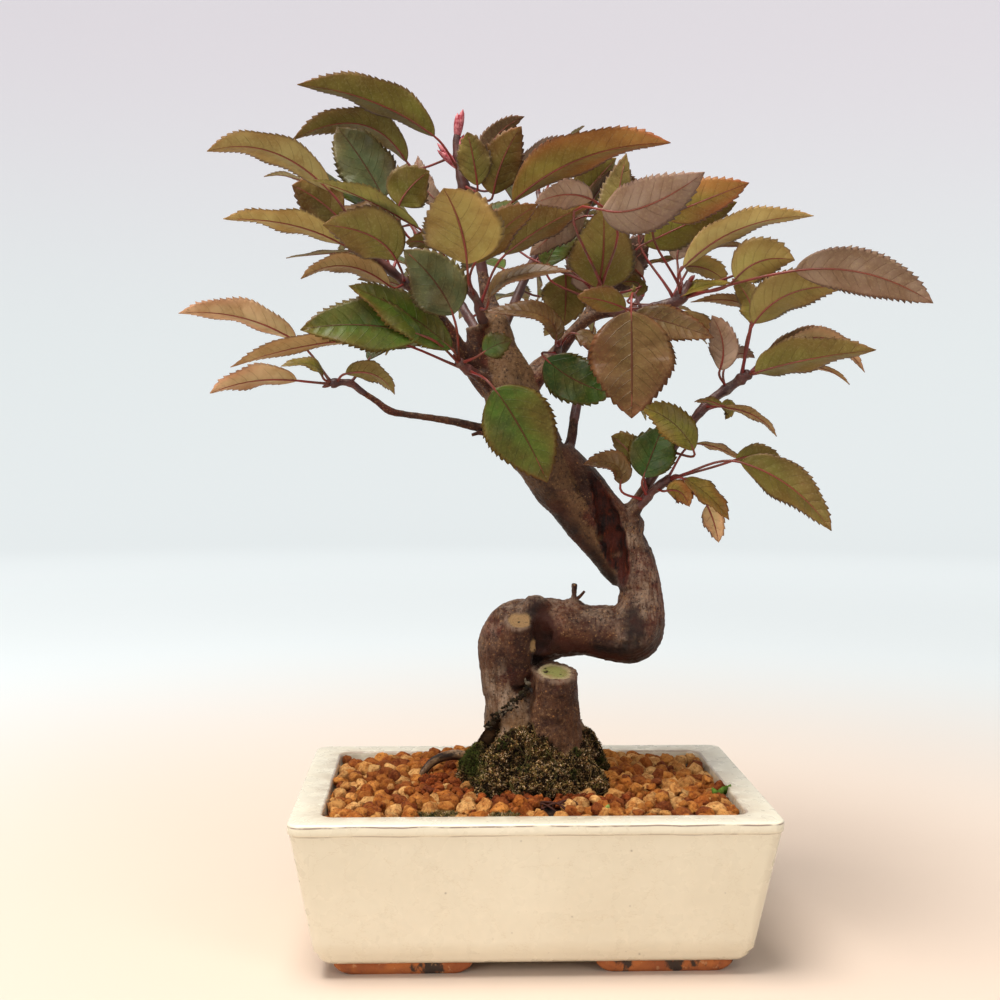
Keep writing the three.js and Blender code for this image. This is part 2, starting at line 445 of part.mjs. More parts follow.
// Grains as relief: six-sided cells, each with its middle raised by a seeded amount and its corners low
function makeSoilBlock() {
  const random = seeded(41);
  const [halfX, halfY] = innerHalf(SOIL.top).map((half) => half - GAP - 0.4);
  const columns = Math.round((2 * halfX) / (SOIL.grain / Math.sqrt(3)));
  const rows = Math.round((2 * halfY) / (SOIL.grain / 2));
  const positions = [];
  const triangles = [];
  const index = new Map();
  const place = (key, x, y, z) => {
    if (!index.has(key)) {
      index.set(key, positions.length / 3);
      positions.push(x, y, z);
    }
    return index.get(key);
  };
  // Points in staggered rows; every third one along a slanted row is a grain's middle
  const lattice = (i, j) => {
    const key = `${i},${j}`;
    if (index.has(key)) return index.get(key);
    const rim = i === 0 || i === columns || j === 0 || j === rows;
    const across = i === 0 || i === columns ? i : i + 0.5 * (j % 2);
    const middle = (i - Math.floor(j / 2) + 2 * j) % 3 === 0;
    const jitter = rim ? 0 : SOIL.jitter;
    const x = -halfX + (across * 2 * halfX) / columns + jitter * (random() - 0.5);
    const y = -halfY + (j * 2 * halfY) / rows + jitter * (random() - 0.5);
    const lift = middle ? SOIL.relief * (0.5 + 0.6 * random()) : 0.5 * (random() - 0.5);
    return place(key, x, y, soilHeight(x, y) + (rim ? -0.6 : lift));
  };
  for (let j = 0; j < rows; j += 1) {
    for (let i = 0; i < columns; i += 1) {
      const [a, b, c, d] = [lattice(i, j), lattice(i + 1, j), lattice(i + 1, j + 1), lattice(i, j + 1)];
      if (j % 2 === 0) triangles.push(a, b, d, b, c, d);
      else triangles.push(a, b, c, a, c, d);
    }
  }
  // Skirt down to the pot's floor and a flat underside
  const border = [];
  for (let i = 0; i < columns; i += 1) border.push(`${i},0`);
  for (let j = 0; j < rows; j += 1) border.push(`${columns},${j}`);
  for (let i = columns; i > 0; i -= 1) border.push(`${i},${rows}`);
  for (let j = rows; j > 0; j -= 1) border.push(`0,${j}`);
  const [floorX, floorY] = innerHalf(POT.floor).map((half) => half - GAP - 0.4);
  const under = (key) => {
    const top = index.get(key) * 3;
    const [x, y] = [positions[top] * (floorX / halfX), positions[top + 1] * (floorY / halfY)];
    return place(`under ${key}`, x, y, POT.floor + GAP);
  };
  const hub = place('hub', 0, 0, POT.floor + GAP);
  border.forEach((key, k) => {
    const next = border[(k + 1) % border.length];
    const [a, b] = [index.get(key), index.get(next)];
    const [c, d] = [under(key), under(next)];
    triangles.push(b, a, c, b, c, d, d, c, hub);
  });
  const round = loft([roundedLevel(...innerHalf(POT.floor).map((half) => half - GAP), 5.7, POT.floor - 1),
    roundedLevel(...innerHalf(POT.height + 9).map((half) => half - GAP), 5.7, POT.height + 9)]);
  const screens = [-1, 1].map((side) => makeScreen(side, GAP));
  return solid(positions, triangles).intersect(round).subtract(Manifold.union(screens));
}

// Trunk

function makeTrunk(grow = 0) {
  const rough = { sides: 10, grow, bumps: 0.022 };
  const round = { ...rough, steps: 2 };
  const stub = ({ limb: stations, face, looks }) => {
    const middle = seen(...face);
    const normal = new THREE.Vector3(...looks).normalize();
    const half = { x: normal.x, y: normal.y, z: normal.z };
    const body = limb(stations, { sides: 9, grow, bumps: 0.02 });
    return body.trimByPlane([-half.x, -half.y, -half.z], -middle.dot(normal) - grow);
  };
  const woods = Object.values(LIMBS).map(({ wood, shoot }) => limb([...wood, ...shoot.slice(1)],
    { sides: 6, grow, to: wood.length - 1 }));
  const pieces = [
    limb(COLUMN, round),
    limb(LIMB, rough),
    limb(SLAB, rough),
    ...ROOTS.map((root) => limb(root, { sides: 7, grow, bumps: 0.03 })),
    ...STUBS.map(stub),
    ...SNAGS.map((snag) => limb(snag, { sides: 5, grow })),
    ...woods,
  ];
  return largest(Manifold.union(pieces).subtract(limb(HOLLOW, { sides: 8, grow: -grow })));
}

// Moss: a lumpy collar on the root base, from the soil up to the foot of the sawn stub
function makeMoss(trunkHole, soilBlock) {
  const thick = { sides: 10, grow: MOSS.thick, bumps: 0.03 };
  const collar = Manifold.union([
    limb(COLUMN.slice(1, 6), thick),
    ...ROOTS.slice(0, 4).map((root) => limb(root, { sides: 7, grow: MOSS.thick, bumps: 0.03 })),
    ...MOSS.cushions.map(([x, z, y, size]) => limb([[x, z - 6, y, size], [x, z, y, size], [x, z + 4, y, size * 0.5]],
      { sides: 8, bumps: 0.06 })),
  ]);
  const front = box(-60, 60, -60, MOSS.back, MOSS.low, MOSS.high);
  return largest(collar.intersect(front).subtract(soilBlock.translate([0, 0, GAP])).subtract(trunkHole));
}

// The biggest connected piece of a body; loose scraps are dropped
function largest(body) {
  return body.decompose().sort((a, b) => b.volume() - a.volume())[0];
}

// Leaves

const halfWidthAt = (p) => 1.54 * p ** 0.7 * (1 - p) ** 0.95;

// A leaf: stalk and blade as one closed body. The rib is a curve through neck, middle and tip.
function leaf(root, heading, [, neckAt, middleAt, tipAt, width, turn, fold]) {
  const neck = seen(...neckAt);
  const tip = seen(...tipAt);
  const middle = seen(...middleAt, (neckAt[2] + tipAt[2]) / 2);
  return leafBody(root, heading, neck, middle, tip, width, turn, fold);
}

function leafBody(root, heading, neck, middle, tip, width, turn, fold) {
  const chord = tip.clone().sub(neck).normalize();
  const sight = middle.clone().sub(EYE).normalize();
  const side = chord.clone().cross(sight).normalize();
  if (side.z < 0) side.negate();
  const turned = THREE.MathUtils.degToRad(turn);
  const facing = sight.clone().multiplyScalar(-Math.cos(turned)).addScaledVector(side, Math.sin(turned));
  const bend = middle.clone().multiplyScalar(2).addScaledVector(neck, -0.5).addScaledVector(tip, -0.5);
  const rib = new THREE.QuadraticBezierCurve3(neck, bend, tip);
  const folded = THREE.MathUtils.degToRad(fold);

  // Frame at p along the rib: its way on, the blade's normal, and across
  const frame = (p) => {
    const along = rib.getTangent(p);
    const normal = turnedOff(facing, along);
    return { point: rib.getPoint(p), along, normal, across: along.clone().cross(normal) };
  };
  const onBlade = (p, half, lift) => {
    const { point, normal, across } = frame(p);
    const sideways = Math.sign(half);
    const offNormal = normal.clone().multiplyScalar(Math.cos(folded)).addScaledVector(across, -sideways * Math.sin(folded));
    return point.addScaledVector(across, half * Math.cos(folded))
      .addScaledVector(normal, Math.abs(half) * Math.sin(folded)).addScaledVector(offNormal, lift);
  };

  const positions = [];
  const triangles = [];
  const add = (point) => {
    positions.push(point.x, point.y, point.z);
    return positions.length / 3 - 1;
  };

  // Stalk: four-sided rings from the neck back to the twig
  const start = frame(0);
  const length = neck.distanceTo(root);
  const stalk = new THREE.CubicBezierCurve3(root,
    root.clone().addScaledVector(heading, length * 0.35), neck.clone().addScaledVector(start.along, -length * 0.35), neck);
  const parts = length > 19 ? 2 : 1;
  const rings = [];
  let up = start.normal.clone();
  for (let k = parts; k >= 0; k -= 1) {
    const t = k / parts;
    const along = k === parts ? start.along : stalk.getTangent(t);
    up = turnedOff(up, along);
    const across = along.clone().cross(up);
    const centre = stalk.getPoint(t);
    const around = (direction, size) => add(centre.clone().addScaledVector(direction, size));
    rings.unshift([around(up, STALK), around(across, STALK), around(up, -STALK), around(across, -STALK)]);
  }
  triangles.push(rings[0][0], rings[0][2], rings[0][1], rings[0][0], rings[0][3], rings[0][2]);
  for (let k = 0; k < parts; k += 1) {
    for (let s = 0; s < 4; s += 1) {
      const [a, b] = [rings[k][s], rings[k][(s + 1) % 4]];
      const [c, d] = [rings[k + 1][(s + 1) % 4], rings[k + 1][s]];
      triangles.push(a, b, c, a, c, d);
    }
  }

  // Blade: at each notch a pair of points on either side and a pair at the rib; between notches one tooth
  const teeth = TEETH - (width < 14 ? 1 : 0) - (width < 9.5 ? 1 : 0);
  const [top, right, bottom, left] = rings[parts];
  const stations = [{ ribTop: top, ribLow: bottom, edge: { 1: [right, right], '-1': [left, left] } }];
  for (let k = 1; k < teeth; k += 1) {
    const p = k / teeth;
    const half = NOTCH * width * halfWidthAt(p);
    const { point, normal } = frame(p);
    const slim = 1 - 0.35 * p;
    stations.push({
      ribTop: add(point.clone().addScaledVector(normal, (slim * RIB) / 2)),
      ribLow: add(point.clone().addScaledVector(normal, (-slim * RIB) / 2)),
      edge: {
        1: [add(onBlade(p, half, EDGE / 2)), add(onBlade(p, half, -EDGE / 2))],
        '-1': [add(onBlade(p, -half, EDGE / 2)), add(onBlade(p, -half, -EDGE / 2))],
      },
    });
  }
  const point = add(rib.getPoint(1));
  stations.push({ ribTop: point, ribLow: point, edge: { 1: [point, point], '-1': [point, point] } });
  const face = (a, b, c, flip) => {
    if (a === b || b === c || a === c) return;
    triangles.push(...(flip ? [a, c, b] : [a, b, c]));
  };
  for (let k = 0; k < teeth; k += 1) {
    const [here, next] = [stations[k], stations[k + 1]];
    [1, -1].forEach((way) => {
      const flip = way < 0;
      const last = k === teeth - 1;
      const tooth = last ? null : add(onBlade((k + 0.72) / teeth, way * width * (halfWidthAt((k + 0.72) / teeth) + TOOTH), 0));
      const [topA, lowA] = here.edge[way];
      const [topB, lowB] = next.edge[way];
      face(here.ribTop, topA, topB, flip);
      face(here.ribTop, topB, next.ribTop, flip);
      face(here.ribLow, lowB, lowA, flip);
      face(here.ribLow, next.ribLow, lowB, flip);
      if (last) {
        face(topA, lowA, topB, flip);
        return;
      }
      face(topA, tooth, topB, flip);
      face(lowA, lowB, tooth, flip);
      face(topA, lowA, tooth, flip);
      face(topB, tooth, lowB, flip);
    });
  }
  return solid(positions, triangles);
}

function makeShoot(name) {
  const { wood, shoot } = LIMBS[name];
  const stations = [...wood, ...shoot.slice(1)];
  const whole = curveThrough(stations);
  const begins = wood.length - 1;
  const onTwig = (t) => (begins + t * (shoot.length - 1)) / (stations.length - 1);
  const pieces = [limb(stations, { sides: 6, begin: GAP, from: begins })];
  LEAVES[name]?.forEach((row) => {
    const root = whole.getPoint(onTwig(row[0]));
    pieces.push(leaf(root, seen(...row[1]).sub(root).normalize(), row));
  });
  const rule = BEHIND[name];
  for (let i = 0; rule && i < rule.count; i += 1) {
    const t = rule.first + ((1 - rule.first) * i) / (rule.count - 1);
    const [root, along] = [whole.getPoint(onTwig(t)), whole.getTangent(onTwig(t))];
    const across = turnedOff(new THREE.Vector3(0, 0, 1), along);
    const other = along.clone().cross(across);
    const angle = THREE.MathUtils.degToRad(rule.start + GOLDEN * i);
    const outward = across.multiplyScalar(Math.cos(angle)).addScaledVector(other, Math.sin(angle));
    const open = THREE.MathUtils.degToRad(rule.spread);
    const way = along.clone().multiplyScalar(Math.cos(open)).addScaledVector(outward, Math.sin(open));
    way.y += 0.5;
    way.normalize();
    const size = 1 - 0.25 * Math.abs(Math.sin(i * 2.3));
    const stalkLength = 13 + 5 * Math.sin(i * 1.7);
    const neck = root.clone().addScaledVector(way, stalkLength);
    const tip = neck.clone().addScaledVector(way, rule.length * size);
    tip.z -= 9;
    const middle = neck.clone().add(tip).divideScalar(2);
    middle.z += 4;
    pieces.push(leafBody(root, way, neck, middle, tip, rule.width * size, 90, 22));
  }
  return largest(Manifold.union(pieces));
}

// Scene

function meshOf(name, body, colour, roughness) {
  const data = body.getMesh();
  const geometry = new THREE.BufferGeometry();
  geometry.setAttribute('position', new THREE.BufferAttribute(new Float32Array(data.vertProperties), 3));
  geometry.setIndex(new THREE.BufferAttribute(new Uint32Array(data.triVerts), 1));
  geometry.computeVertexNormals();
  const mesh = new THREE.Mesh(geometry, new THREE.MeshStandardMaterial({ color: colour, roughness, metalness: 0 }));
  mesh.name = name;
  return mesh;
}

const trunk = makeTrunk();
const trunkHole = makeTrunk(GAP);
const soilBlock = makeSoilBlock();
const tree = new THREE.Group();
tree.add(meshOf('pot', makePot(), '#e6d9ba', 0.35));
tree.add(meshOf('drainage_screen_left', makeScreen(-1), '#3a3f3c', 0.6));
tree.add(meshOf('drainage_screen_right', makeScreen(1), '#3a3f3c', 0.6));
tree.add(meshOf('soil', soilBlock.subtract(trunkHole), '#a8683a', 0.95));
tree.add(meshOf('trunk', trunk, '#5d4238', 0.85));
tree.add(meshOf('moss_mat', makeMoss(trunkHole, soilBlock), '#4d4a2a', 1));

const SHOOT_COLOURS = {
  low_left: '#a4804f', upper_left: '#7d7338', left_inner: '#5a6428', inner: '#4d5428', front_spur: '#8a7c3e', leader: '#6f6428',
  upper_right: '#6e6430', right: '#7b6340', right_middle: '#75683a', right_low: '#5d5c2e',
  back_right: '#5b5a30', back_left: '#5b5a30', back: '#5b5a30',
};
Object.entries(SHOOT_COLOURS).forEach(([name, colour]) => {
  tree.add(meshOf(`shoot_${name}`, makeShoot(name), colour, 0.6));
});

// Origin: the middle of the whole thing's footprint, on the table
const bounds = new THREE.Box3().setFromObject(tree);
const footprint = bounds.getCenter(new THREE.Vector3());
tree.children.forEach((mesh) => mesh.position.set(-footprint.x, -footprint.y, -bounds.min.z));

export default tree;
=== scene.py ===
# Apple bonsai in a glazed pot: the looks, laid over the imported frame.
# Lengths in this file are millimetres in the pot's own frame (its middle on the table is 0, 0, 0), and
# become metres in the frame of the model when a mesh is made.
import math

import bmesh
import bpy
import numpy as np
from mathutils import Matrix, Vector, noise


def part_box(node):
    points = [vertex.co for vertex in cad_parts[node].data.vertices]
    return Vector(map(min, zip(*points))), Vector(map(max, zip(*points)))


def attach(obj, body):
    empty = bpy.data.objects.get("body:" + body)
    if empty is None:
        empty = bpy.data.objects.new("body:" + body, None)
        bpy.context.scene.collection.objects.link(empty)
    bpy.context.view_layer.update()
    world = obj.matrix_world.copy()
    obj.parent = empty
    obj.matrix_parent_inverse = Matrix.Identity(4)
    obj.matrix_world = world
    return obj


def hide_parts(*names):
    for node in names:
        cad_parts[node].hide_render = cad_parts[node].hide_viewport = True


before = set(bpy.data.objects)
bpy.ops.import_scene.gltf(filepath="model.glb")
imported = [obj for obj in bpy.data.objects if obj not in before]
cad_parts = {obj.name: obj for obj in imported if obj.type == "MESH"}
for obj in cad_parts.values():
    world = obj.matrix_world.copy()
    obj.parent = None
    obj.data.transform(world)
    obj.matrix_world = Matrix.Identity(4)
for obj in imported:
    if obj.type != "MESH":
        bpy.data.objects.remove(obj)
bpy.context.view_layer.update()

# Camera: focal length and width of the sensor, place of the lens, and its angles in degrees
LENS = 50.4
SENSOR = 36
EYE = np.array((-34.0, -558.0, 198.5))
YAW = 2.3
PITCH = 2.6
ROLL = 0.25

# Studio, in metres. Lights: name, place, size, power and colour. Floor and backdrop are turned about the
# upright: rows of radius and height, with a bend that carries the backdrop up.
LIGHTS = [
    ("overhead", (-0.35, -0.3, 1.5), 0.9, 34, "#fffdfa"),
    ("front_left", (-1.3, -1.3, 0.7), 0.9, 11, "#fffcf8"),
    ("front_right", (1.2, -1.4, 0.9), 0.8, 7, "#fffcf8"),
]
LIGHTS_LOOK_AT = (0, 0, 0.15)
SKY = dict(colour="#f4f6fa", strength=0.5)
FLOOR = [(0.001, 0), (0.3, 0), (0.6, 0)]
BACKDROP_FOOT = [(0.6, 0), (1.2, 0), (2.0, 0)]
BACKDROP_BEND = 1.2
BACKDROP_TOP = [(3.2, 1.8), (3.2, 2.6)]

# Seeds of the random draws
GRAIN_SEED = 7
MOSS_SEED = 23
SHOOT_SEED = 7

# Pot: outside size, width of the rim, band and step, how far outside and inside lean in, and the rest
POT = dict(width=180, depth=128.4, height=60, rim=11.5, band=4.6, step=0.7, lean=9.8, inner_lean=6.5,
           corner=5.5, inner_corner=6, foot_height=4.6, edge_round=6, lip=0.9, floor=12)
# Step under the band: inset, and height over the band's lower edge
BAND_STEP = [(0.65, 0.15), (0.25, 0.5), (0.02, 1), (0, 2.2)]
# A foot: its sides and corner; and its outline as heights, with how far it is drawn in there
FOOT = dict(outer=74.6, inner=22.5, slant=6, front=50, back=20, set_in=2, corner=2.2)
FOOT_OUTLINE = [(0, 0.86), (0.5, 0.62), (1.6, 0.34), (3.2, 0.1), (5.4, 0)]
DRAIN_X = 38
DRAIN_HOLE = 9
# Where the glaze thins at the inner edge: reach from the cavity, and depth under the rim
THIN_EDGE = dict(reach=0.95, top=0.02, depth=0.75)

# Soil: height in the pot's middle, mound behind the trunk, drop at the edge, and room at the wall
SOIL = dict(top=57, mound=7.6, mound_x=42, mound_y=40, mound_back=25, edge_drop=1.2, room=0.4)
# The dark bed: how far it lies under the grains, its lumps and crumbs, and its room over the pot's floor
BED = dict(sunk=2.6, lump=1.3, crumb=0.6, over_floor=2, across=110, deep=76)
# Grains: range of radii, and how close they lie, as a share of their radii
COARSE_SIZES, COARSE_GAP = (1.5, 3.8), 0.8
FINE_SIZES, FINE_GAP = (1.0, 2.0), 0.72
GRAIN_TRIES = 9000
# Chance of a coarse grain in a fine spot, and of a fine one outside it
COARSE_STRAYS = 0.06
FINE_STRAYS = 0.35
# Grains piled on others: their share, the y they end at, and their distance from the trunk
PILED = dict(share=0.4, back=18, from_trunk=4)
GRAIN_COLOURS = ("#c27d38", "#ae6727", "#cf9350", "#9a541f", "#d8a362", "#844319")
FINE_COLOURS = ("#8a4012", "#9c4e1a", "#733410", "#a85c22")
# Ellipses on the soil: middle x, y and half lengths. Fine red grains lie in FINES; BARE shows the dark bed.
FINES = [(-29, -8, 18, 20), (6, -27, 36, 6)]
MOSS_PATCHES = [(-36.5, -45, 9, 7.5), (-11, -46, 6.5, 7)]
BARE = [(66, 45, 9, 6), (-70, 46, 6, 6), (7, -40, 7, 7)] + MOSS_PATCHES
# Fine roots over the gap at the front, from one x, y, lift to another; sprouts by x, y and colour
ROOTLETS = [((-3, -33, 0), (14, -40, 0)), ((2, -39, 0), (15, -35, 0)), ((-1, -36, 0), (9, -42, 0)),
            ((6, -34, 0), (13, -42, 0)), ((-5, -30, 1), (4, -40, 0)), ((8, -33, 0), (18, -37, 0))]
SPROUTS = [(26, -45, "#8c9a50"), (74, -18, "#5c7a2c"), (78, -12, "#4c6a24")]

# Wood: size of a remeshed cell, points that are measured at a time, and for its limbs the steps from
# station to station, the sides, and how far they are out of round
CELL = 0.75
BATCH = 4000
WOOD = dict(steps=6, sides=28, bumps=0.022)
# Bark: depth of lumps, ridges, fine grain and rings, and height of the collar round a sawn face
BARK = dict(lump=0.85, ridge=0.5, grain=0.24, band=0.12, collar=0.5)
# Heights between which the bark's looks change, from the first to the second
COARSE_FOOT = (96, 70)
RINGED_LIMBS = (128, 153)
# Heights of the column's pale film with painted sheen
PALE_COLUMN = (84, 92)
PALE_COLUMN_END = (112, 102)
# Painted shade on undersides below the first of these heights, and under the crown between the next ones
DARK_UNDERSIDES = (190, 170)
CROWN_SHADE = (168, 182)
CROWN_SHADE_END = (214, 204)
# Top of the painted sheen on the knee's front
KNEE_TOP = 165

# Leaves: pitch of the teeth, their depth, and where along its pitch a tooth stands out furthest;
# thickness of the blade, radius of the stalk, how softly the blade folds, and pitch of the side veins
TOOTH_PITCH = 2.3
TOOTH_DEPTH = 0.95
TOOTH_PEAK = 0.86
BLADE = 0.4
STALK = 0.52
SOFT_FOLD = 0.9
VEIN_PITCH = 4.6
SLIM_VEIN_PITCH = 3.4
SLIM_VEINS_UNDER = 14
# Outline of a blade: a scale that brings its widest place to the width, and powers at neck and tip
OUTLINE = dict(scale=1.54, neck=0.7, tip=0.95)
RUST = "#7c3a20"
PALE_UNDERSIDE = "#9c9258"
# Columns of points across a blade, from margin to margin; a leaf under the slim width has fewer
COLUMNS_ACROSS = (-1, -0.86, -0.66, -0.45, -0.25, -0.09, 0, 0.09, 0.25, 0.45, 0.66, 0.86, 1)
SLIM_COLUMNS = (-1, -0.75, -0.4, -0.12, 0, 0.12, 0.4, 0.75, 1)
SLIM_LEAF = 11

# Places in the tree, as in the frame: [x, z] on an upright sheet through the trunk, carried along the
# line of sight to a depth y. A station of a limb is (x, z, y, radius).
COLUMN = [
    (3, 34, 2, 15), (2, 52, 1, 20), (1, 64, 0, 19.5), (-2, 74, 0, 16), (-5.5, 84, 0, 12.2),
    (-8.2, 95, 0, 9.6), (-8.8, 106, 0, 9.9), (-8.6, 115, 0, 10.8), (-5.5, 121, 1, 11.8), (2, 121.4, 2, 12.6),
    (12, 121.6, 1, 11.3), (23, 121, 0, 9.9), (33, 119.6, -1, 10.6), (41.5, 120, -1, 12.4),
    (44.8, 127, -1, 10.8), (45.2, 137, 0, 8.4), (42.6, 148, 0, 8.1), (38.4, 157, 0, 7.8),
]
LIMB = [(45.2, 137, 0, 8.2), (42.2, 149, 0, 8), (37, 160, 0, 7.8), (30, 170.5, 1, 7.6), (21, 180.5, 2, 8),
        (10, 190, 2, 9)]
SLAB = [(37, 140, 4, 3), (33, 147, 4, 5), (26, 157.5, 3, 6.8), (18.8, 168, 2, 8.2), (10.8, 180, 1, 9.8),
        (3, 192, 0, 11), (-3, 204, 0, 11.8), (-7, 214, 0, 11.4), (-9.8, 223, 0, 10), (-12.3, 232, 0, 8.2),
        (-13.8, 240, 0, 6.6), (-14.6, 245.5, 0, 5.2)]
ROOTS = [
    [(8, 78, -6, 8), (18, 67, -12, 6), (26, 59, -17, 3.4), (30, 54, -20, 2)],
    [(14, 82, 3, 8), (23, 69, 7, 6), (30, 60, 12, 3.4), (34, 54, 15, 2)],
    [(-8, 80, 3, 7), (-17, 68, 6, 5.5), (-23, 59, 9, 3), (-27, 53, 11, 2)],
    [(-5, 76, -8, 8), (-12, 64, -16, 6), (-16, 56, -22, 3.2), (-18, 50, -25, 2)],
    [(2, 78, 10, 8), (1, 68, 20, 6), (-2, 60, 30, 3.6), (-4, 54, 36, 2)],
    [(-20, 68, 9, 2.6), (-29, 70.5, 9, 2.2), (-37, 68.5, 8, 1.9), (-42, 63.5, 7, 1.7), (-45, 57, 6, 1.5)],
]
# A sawn stub: stations, middle of the cut face, the way that face looks
STUBS = [
    ([(7.5, 60, -3, 15), (9.5, 74, -5, 12.6), (10.4, 84, -7, 10.8), (10.8, 94, -9, 9.4), (11, 109, -11, 8.4)],
     (10.9, 104, -11), (0.09, -0.3, 0.95)),
    ([(-4.5, 100, -5, 5.6), (-4, 112, -8, 5.8), (-3.4, 127, -11, 5.6)],
     (-3.3, 124.6, -11), (0.02, -0.52, 0.85)),
    ([(-5, 113, -4, 3), (0.4, 114.6, -9, 2.6), (4, 115, -13, 2.4)], (1.6, 114.6, -11), (0.45, -0.85, 0.1)),
    ([(-15, 222, -3, 4.5), (-20.5, 231, -4, 3.8), (-22, 246, -4, 3.4)], (-22, 242, -4), (-0.2, -0.15, 1)),
]
# Dead snags, grown into the wood, and thinner ones that are set on it
SNAGS = [
    [(18.4, 127, 0, 1.8), (18.3, 134, 0, 1.2), (18.6, 139.6, 0, 1.3)],
    [(42, 162.5, -2, 3.2), (43.2, 166, -4, 2.2)],
]
TWIGLETS = [
    [(18.6, 133, 0, 0.9), (20.6, 134.4, 0, 0.7), (22.6, 136.6, 0, 0.5)],
    [(-14, 199, -2, 1.4), (-20, 199.8, -3, 0.8), (-23, 199, -3, 0.6)],
]
# Gap beside the upper stub, cut in and darkened with painted shade, and the swelling behind it
RECESS = [(3.6, 131, -11.5, 1.4), (4.6, 126, -11, 2.8), (5.6, 120, -10, 3.6), (6, 114, -9, 3.4),
          (6.4, 109, -9, 2.2)]
ELBOW = [(-4, 111, 3, 8), (3, 113.5, 4, 7.6), (11, 117, 4, 7)]
# Old knobs and scars on the bark: middle and radius. STAIN is the dark patch on the knee, darkened with the
# painted shade.
KNOBS = [(3, 130, -4, 5.5), (-9, 126, -5, 5), (-13.5, 119, -4, 4), (18.5, 129.5, 0, 4.6),
         (48, 123.5, -7.5, 4.6), (40, 163, 0, 6), (-16, 108, 0, 3.2), (-4, 109, -10, 3.4)]
STAIN = [(42, 126.5, -11, 0.8), (43.4, 122, -11.5, 2), (42, 117.5, -11, 1.6), (37, 113.5, -9, 1)]
# Ridge of the moss over a root
MOSS_RIDGE = [(-12, 86, -10, 2.4), (-18, 79, -13, 3), (-21, 70, -15, 3.2), (-19, 60, -19, 3),
              (-14, 54, -23, 2)]
# Upper edge of the moss as seen from the front: x and height
MOSS_LINE = [(-24, 76), (-16, 80), (-12, 84), (-8, 87), (-1, 88), (5, 84), (10, 79), (14.5, 75), (18.5, 78),
             (23, 82), (28, 82)]
# Path of the dark crumbs that flake off between column and stub
FLAKES = [(0, 100, -13, 1), (-2, 95, -13.5, 1.6), (-7, 90.5, -13, 1.8), (-13, 85.5, -12, 1.5),
          (-16, 80, -12, 1.4)]
# The long hollow in the leaning slab
HOLLOW = [(25, 186, -6.5, 1.2), (27.6, 178, -6, 2.4), (30.6, 169, -5.5, 3.8), (33.6, 158, -5, 5.2),
          (35.7, 147.5, -5.5, 4.6), (36.8, 138.5, -6.5, 2)]
# Moss: thickness over the wood, where it ends at the back and below, and its count of leaflets
MOSS = dict(thick=1.5, back=9, bottom=53, leaflets=21000)
STRANDS = 46
STRAND_COLOURS = ("#40351c", "#584628", "#2a1e12", "#4e4826")
FLAKE_COLOURS = ("#14100c", "#221a12", "#5e5446", "#2c2618")
# Cushions under the moss: x, z of the top, y, radius
CUSHIONS = [(-18, 72, -6, 5), (-22, 66, -4, 5.5), (-11, 68, -14, 8.5), (-4, 71, -13, 7.5), (-1, 62, -19, 7.5),
            (6, 63, -19, 7.5), (13, 66, -15, 8), (19, 64, -11, 7.5), (24, 60, -10, 5.5), (15, 60, -19, 6)]

